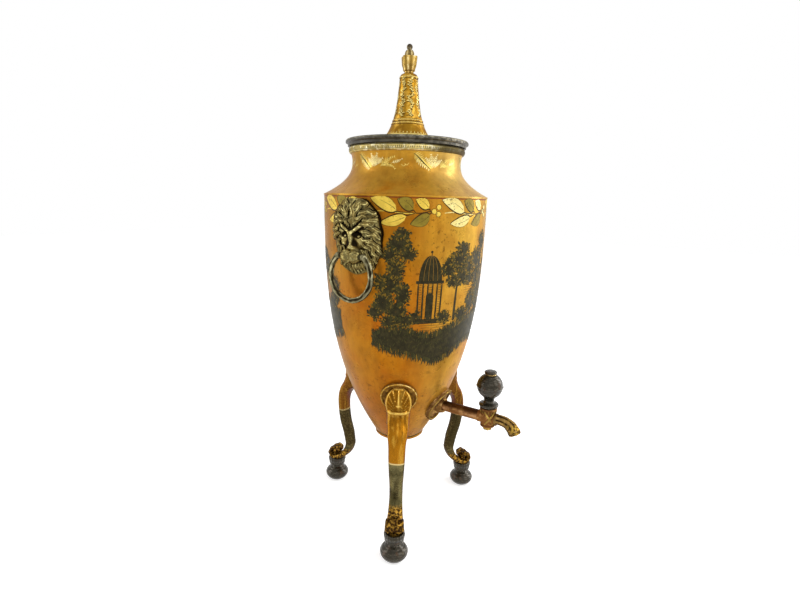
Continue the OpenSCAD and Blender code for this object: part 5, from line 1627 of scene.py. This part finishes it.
def build_tap(settings):
    """The tap with its chasing, and the wooden knob on its stem."""
    copper = cast_metal("browned_copper_alloy", "#84572e", "#4c2c18", "#b98a52", 0.7, 0.32, patches=0.65)
    chased = cast_metal("chased_tap_brass", "#7a5a2c", "#3c2812", "#d6b258", 0.7, 0.34, grain_mm=1.6,
                        relief_mm=0.08, hollow_dark=0.85, patches=0.6)
    finish_solids(copper, "tap_barrel", "tap_plug")
    # Browned copper on the pipe, with painted dark reflection on top and a painted highlight streak
    finish_solids(cast_metal("browned_pipe_copper_painted_light", "#84572e", "#4c2c18", "#b98a52", 0.7, 0.32, patches=0.65,
                             last_coats=pipe_painted_reflection_and_highlight), "tap_pipe")
    finish_solids(cast_metal("worn_flange_brass", "#7e5a30", "#4a3018", "#caa468", 0.7, 0.34), "tap_flange")
    finish_solids(chased, "tap_backnut", "plug_washer", "plug_nut")
    finish_solids(tanned_leather(), "tap_washer")
    build_spout(settings, cast_metal("browned_spout_brass", "#7c5c30", "#3b2813", "#cfa964", 0.7, 0.3, grain_mm=1.6,
                                     relief_mm=0.08, hollow_dark=0.9, patches=0.6, last_coats=spout_gilding))

    # A bead on the flange, four straps that cross on the barrel, and a ring of drops under its top
    rim = on_plate(TAP_Z, 0, TAP_FLANGE_D / 2 - 0.9, SEAT_GAP + 3.3)
    chasing = Casting(sweep(rim, lambda t: ridged(0.8, 10), (0, 0, 1), closed=True), 0.1)
    low, high = BARREL_LOW.z + 1.8, BARREL_HIGH.z - 2.2
    for side in (-1, 1):
        for way in (-1, 1):
            path = []
            for t in steps(20):
                a = side * math.radians(58) + way * math.radians(42) * (2 * t - 1)
                r = BARREL_R - 1.2 * (1 - t) + 0.1
                path.append(Vector((TAP_REACH + r * math.cos(a), r * math.sin(a), low + (high - low) * t)))
            chasing.put(sweep(path, lambda t: ridged(0.3 + 0.75 * math.sin(math.pi * t) ** 0.5, 10), (1, 0, 0)))
    for a in angles(16):
        path = []
        for t in (0, 0.25, 0.5, 0.75, 1):
            r = BARREL_R + 0.1 - 0.2 * t
            path.append(Vector((TAP_REACH + r * math.cos(a), r * math.sin(a), high + 0.4 - 3.4 * t)))
        chasing.put(sweep(path, lambda t: ridged(0.12 + 0.5 * math.sin(math.pi * (0.2 + 0.75 * t)), 8),
                          (-math.sin(a), math.cos(a), 0)), 0.15)
    chasing.turn(-90)
    chasing.make("tap_chasing", "urn", "tap_brass", chased)

    wood = bpy.data.materials["ebonised_fruitwood"]
    centre = KNOB_LOW.z + 2.0 + KNOB_R
    arc = []
    for a in (math.radians(-62 + 124 * t) for t in steps(80)):
        cut = sum(0.28 * bell(a, 0, way * (0.2 + 0.36 * j), 0, 0.03, 1)
                  for j in range(1, settings.cut_lines + 1) for way in (-1, 1))
        belt = 0.55 * bell(a, 0, 0, 0, 0.07, 1)
        arc.append((KNOB_R * math.cos(a) - cut + belt, centre + KNOB_R * math.sin(a)))
    low, rise, r = COLLAR_LOW.z, COLLAR_HIGH.z - COLLAR_LOW.z, COLLAR_HIGH.x
    disc = smooth_rows([(r - 1.8, low), (r - 0.3, low + 1.5), (r, low + 2.6), (r - 0.5, low + 3.7), (r - 2, low + 4.5),
                        (0.55 * r, low + 5.4), (0.5 * r, low + rise)], 5)
    for name, node, profile in (
            ("turned_knob", "tap_knob", [(KNOB_BORE_R, KNOB_LOW.z), (KNOB_NECK_R, KNOB_LOW.z)] + arc
             + [(KNOB_BORE_R, KNOB_HIGH.z)]),
            ("turned_knob_collar", "knob_collar", [(KNOB_BORE_R, low)] + disc + [(KNOB_BORE_R, low + rise)])):
        Casting(moved(turned(profile, 96), (0, -TAP_REACH, 0))).make(
            name, "tap_key", "ebonised_wood", wood, [node], 60)
    finish_solids(wood, "knob_button")
    finish_solids(cast_metal("worn_brass_ferrule", "#a58a58", "#4c3c22", "#e6d3a0", 0.75, 0.34), "knob_ferrule")


# ---- Inside ----

def build_inside():
    """Tin on what the water touches, and iron on the fastenings and the heating bar."""
    finish_solids(bpy.data.materials["hot_dipped_tin"], "heater_socket", "heater_cover", "lid_bezel")
    finish_solids(bpy.data.materials["blackened_iron"], "mask_studs", "mask_nuts", "finial_nut")
    finish_solids(cast_metal("fire_scaled_iron", "#3d3833", "#241f1b", "#5e554c", 0.5, 0.62, grain_mm=4), "heater_bar")


# ---- Scene ----

# The render is 800 pixels wide. Distances are in millimetres and angles in degrees.
IMAGE_W = 800
FOCAL_PX = 474.9
CAMERA_DISTANCE = 484.5
CAMERA_HEIGHT = 337.5
CAMERA_PITCH = 11.95
CAMERA_ROLL = 1.5
CAMERA_SIDE = -2.91
CAMERA_AROUND = -58.39
WHITE = (1, 1, 1, 1)
WORLD_LIGHT = 0.36
FLOOR_REACH = 4000
# The floor's glow near the urn and far from it, as distance in metres and strength
GLOW_NEAR, GLOW_FAR = (0.3, 0.56), (1.4, 0.75)


class UrnStage(PropertyGroup):
    """Power of the lights."""

    key: FloatProperty(name="Key light", description="Power of the large soft light", default=11.0, unit="POWER")
    fill: FloatProperty(name="Fill light", description="Power of the fill light; the front one has half of it",
                        default=11.0, unit="POWER")
    edge: FloatProperty(name="Edge light", description="Power of the light on the tap's far side", default=15.0,
                        unit="POWER")


def soft_light(name, place, size, power):
    """A large soft light, at a place in metres, that faces the middle of the vase."""
    lamp = bpy.data.lights.new(name, "AREA")
    lamp.shape = "RECTANGLE"
    lamp.size, lamp.size_y = size
    lamp.energy = power
    made = put_in_scene(name, lamp)
    made.location = place
    middle = Vector((0, 0, (BASE_Z + SHOULDER_Z) / 2)) * MM
    made.rotation_euler = (middle - Vector(place)).to_track_quat("-Z", "Y").to_euler()


def white_seen(tree, seen, lit):
    """One shader to the camera, in reflections and through glass, and another one to all other light."""
    path = add(tree, "ShaderNodeLightPath")
    direct = path.outputs["Is Camera Ray"]
    for ray in ("Is Glossy Ray", "Is Transmission Ray"):
        direct = add(tree, "ShaderNodeMath", {"operation": "MAXIMUM"}, {0: direct, 1: path.outputs[ray]}).outputs[0]
    return add(tree, "ShaderNodeMixShader", inputs={0: direct, 1: lit.outputs[0], 2: seen.outputs[0]}).outputs[0]


def build_floor():
    """The paper floor glows a little, so that it stays white far off and still keeps the urn's shadow."""
    mesh = bpy.data.meshes.new("floor")
    corners = [(x * FLOOR_REACH, y * FLOOR_REACH, 0) for x, y in ((-1, -1), (1, -1), (1, 1), (-1, 1))]
    mesh.from_pydata([Vector(p) * MM for p in corners], [], [(0, 1, 2, 3)])
    put_in_scene("floor", mesh)
    paper = Finish("white_paper", "#f6f6f5", roughness=0.9)
    away = add(paper.tree, "ShaderNodeVectorMath", {"operation": "LENGTH"}, {0: paper.place})
    far = add(paper.tree, "ShaderNodeMapRange", inputs={
        "Value": away.outputs["Value"], "From Min": GLOW_NEAR[0], "From Max": GLOW_FAR[0],
        "To Min": GLOW_NEAR[1], "To Max": GLOW_FAR[1]})
    glow = add(paper.tree, "ShaderNodeEmission", inputs={"Color": WHITE, "Strength": far.outputs["Result"]})
    both = add(paper.tree, "ShaderNodeAddShader", inputs={0: paper.shader.outputs[0], 1: glow.outputs[0]})
    paper.tree.links.new(white_seen(paper.tree, both, paper.shader), paper.output.inputs["Surface"])
    mesh.materials.append(paper.material)


def build_stage(settings):
    """White surroundings, the floor, four soft lights and the camera."""
    world = bpy.data.worlds.new("studio")
    bpy.context.scene.world = world
    world.use_nodes = True
    tree = world.node_tree
    tree.nodes.clear()
    seen, lit = (add(tree, "ShaderNodeBackground", inputs={"Color": WHITE, "Strength": strength})
                 for strength in (1.0, WORLD_LIGHT))
    add(tree, "ShaderNodeOutputWorld", inputs={"Surface": white_seen(tree, seen, lit)})
    build_floor()
    soft_light("key", (-0.1, -1.6, 1.2), (0.9, 1.4), settings.key)
    soft_light("fill", (-0.9, 1.35, 0.9), (0.6, 1.4), settings.fill)
    soft_light("front", (-1.5, -1.0, 1.3), (1.2, 1.2), settings.fill / 2)
    soft_light("edge", (1.2, -1.05, 0.9), (0.6, 1.4), settings.edge)

    camera = bpy.data.cameras.new("camera")
    camera.sensor_width = 36.0
    camera.lens = FOCAL_PX / IMAGE_W * camera.sensor_width
    made = put_in_scene("camera", camera)
    around = Matrix.Rotation(math.radians(CAMERA_AROUND), 4, "Z")
    place = Matrix.Translation(Vector((CAMERA_SIDE, -CAMERA_DISTANCE, CAMERA_HEIGHT)) * MM)
    tilt = Matrix.Rotation(math.radians(90 - CAMERA_PITCH), 4, "X")
    roll = Matrix.Rotation(math.radians(CAMERA_ROLL), 4, "Z")
    made.matrix_world = around @ place @ tilt @ roll
    bpy.context.scene.camera = made
    bpy.context.scene.view_settings.view_transform = "Standard"


# ---- Operators ----

class URN_OT_vase(Operator):
    """Build the japanned body, neck and rim"""

    bl_idname = "urn.vase"
    bl_label = "Vase"

    def execute(self, context):
        build_vase(context.scene.urn_vase)
        return {"FINISHED"}


class URN_OT_garland(Operator):
    """Paint the gilt leaf band under the shoulder"""

    bl_idname = "urn.garland"
    bl_label = "Leaf band"

    def execute(self, context):
        build_garland(context.scene.urn_garland)
        return {"FINISHED"}


class URN_OT_landscape(Operator):
    """Paint the parks on the front and the back"""

    bl_idname = "urn.landscape"
    bl_label = "Landscape"

    def execute(self, context):
        build_landscape(context.scene.urn_landscape)
        return {"FINISHED"}


class URN_OT_sprays(Operator):
    """Paint the gilt sprays on the neck"""

    bl_idname = "urn.sprays"
    bl_label = "Neck sprays"

    def execute(self, context):
        build_sprays(context.scene.urn_sprays)
        return {"FINISHED"}


class URN_OT_lid(Operator):
    """Build the lid's edge, spire, cup and bud"""

    bl_idname = "urn.lid"
    bl_label = "Lid and finial"

    def execute(self, context):
        build_lid(context.scene.urn_lid)
        return {"FINISHED"}


class URN_OT_legs(Operator):
    """Build the cast legs, their plates and the turned feet"""

    bl_idname = "urn.legs"
    bl_label = "Legs and feet"

    def execute(self, context):
        build_legs(context.scene.urn_legs)
        return {"FINISHED"}


class URN_OT_masks(Operator):
    """Build the lion masks and their rings"""

    bl_idname = "urn.masks"
    bl_label = "Lion masks"

    def execute(self, context):
        build_masks(context.scene.urn_masks)
        return {"FINISHED"}


class URN_OT_tap(Operator):
    """Build the tap and its wooden knob"""

    bl_idname = "urn.tap"
    bl_label = "Tap"

    def execute(self, context):
        build_tap(context.scene.urn_tap)
        return {"FINISHED"}


class URN_OT_inside(Operator):
    """Finish the tube, the heating bar and the fastenings inside"""

    bl_idname = "urn.inside"
    bl_label = "Inside"

    def execute(self, context):
        build_inside()
        return {"FINISHED"}


class URN_OT_stage(Operator):
    """Set the floor, the lights and the camera"""

    bl_idname = "urn.stage"
    bl_label = "Stage"

    def execute(self, context):
        build_stage(context.scene.urn_stage)
        return {"FINISHED"}


SETTINGS = {
    "urn_vase": UrnVase, "urn_garland": UrnGarland, "urn_landscape": UrnLandscape, "urn_sprays": UrnSprays,
    "urn_lid": UrnLid, "urn_legs": UrnLegs, "urn_masks": UrnMasks, "urn_tap": UrnTap, "urn_stage": UrnStage}
OPERATORS = [URN_OT_vase, URN_OT_garland, URN_OT_landscape, URN_OT_sprays, URN_OT_lid, URN_OT_legs, URN_OT_masks,
             URN_OT_tap, URN_OT_inside, URN_OT_stage]


class URN_PT_panel(Panel):
    """Lists the urn's pieces in the sidebar"""

    bl_idname = "URN_PT_panel"
    bl_label = "Tea Urn"
    bl_space_type = "VIEW_3D"
    bl_region_type = "UI"
    bl_category = "Tea Urn"

    def draw(self, context):
        for operator in OPERATORS:
            self.layout.operator(operator.bl_idname)


def register():
    """Registers the classes and gives the scene their settings."""
    for group in list(SETTINGS.values()) + OPERATORS + [URN_PT_panel]:
        bpy.utils.register_class(group)
    for name, group in SETTINGS.items():
        setattr(bpy.types.Scene, name, PointerProperty(type=group))


def unregister():
    """Takes the settings and the classes away again."""
    for name in SETTINGS:
        delattr(bpy.types.Scene, name)
    for group in reversed(list(SETTINGS.values()) + OPERATORS + [URN_PT_panel]):
        bpy.utils.unregister_class(group)


def main():
    """Builds every piece and the stage."""
    register()
    bpy.ops.urn.vase()
    bpy.ops.urn.garland()
    bpy.ops.urn.landscape()
    bpy.ops.urn.sprays()
    bpy.ops.urn.lid()
    bpy.ops.urn.legs()
    bpy.ops.urn.masks()
    bpy.ops.urn.tap()
    bpy.ops.urn.inside()
    bpy.ops.urn.stage()


if __name__ == "__main__":
    main()
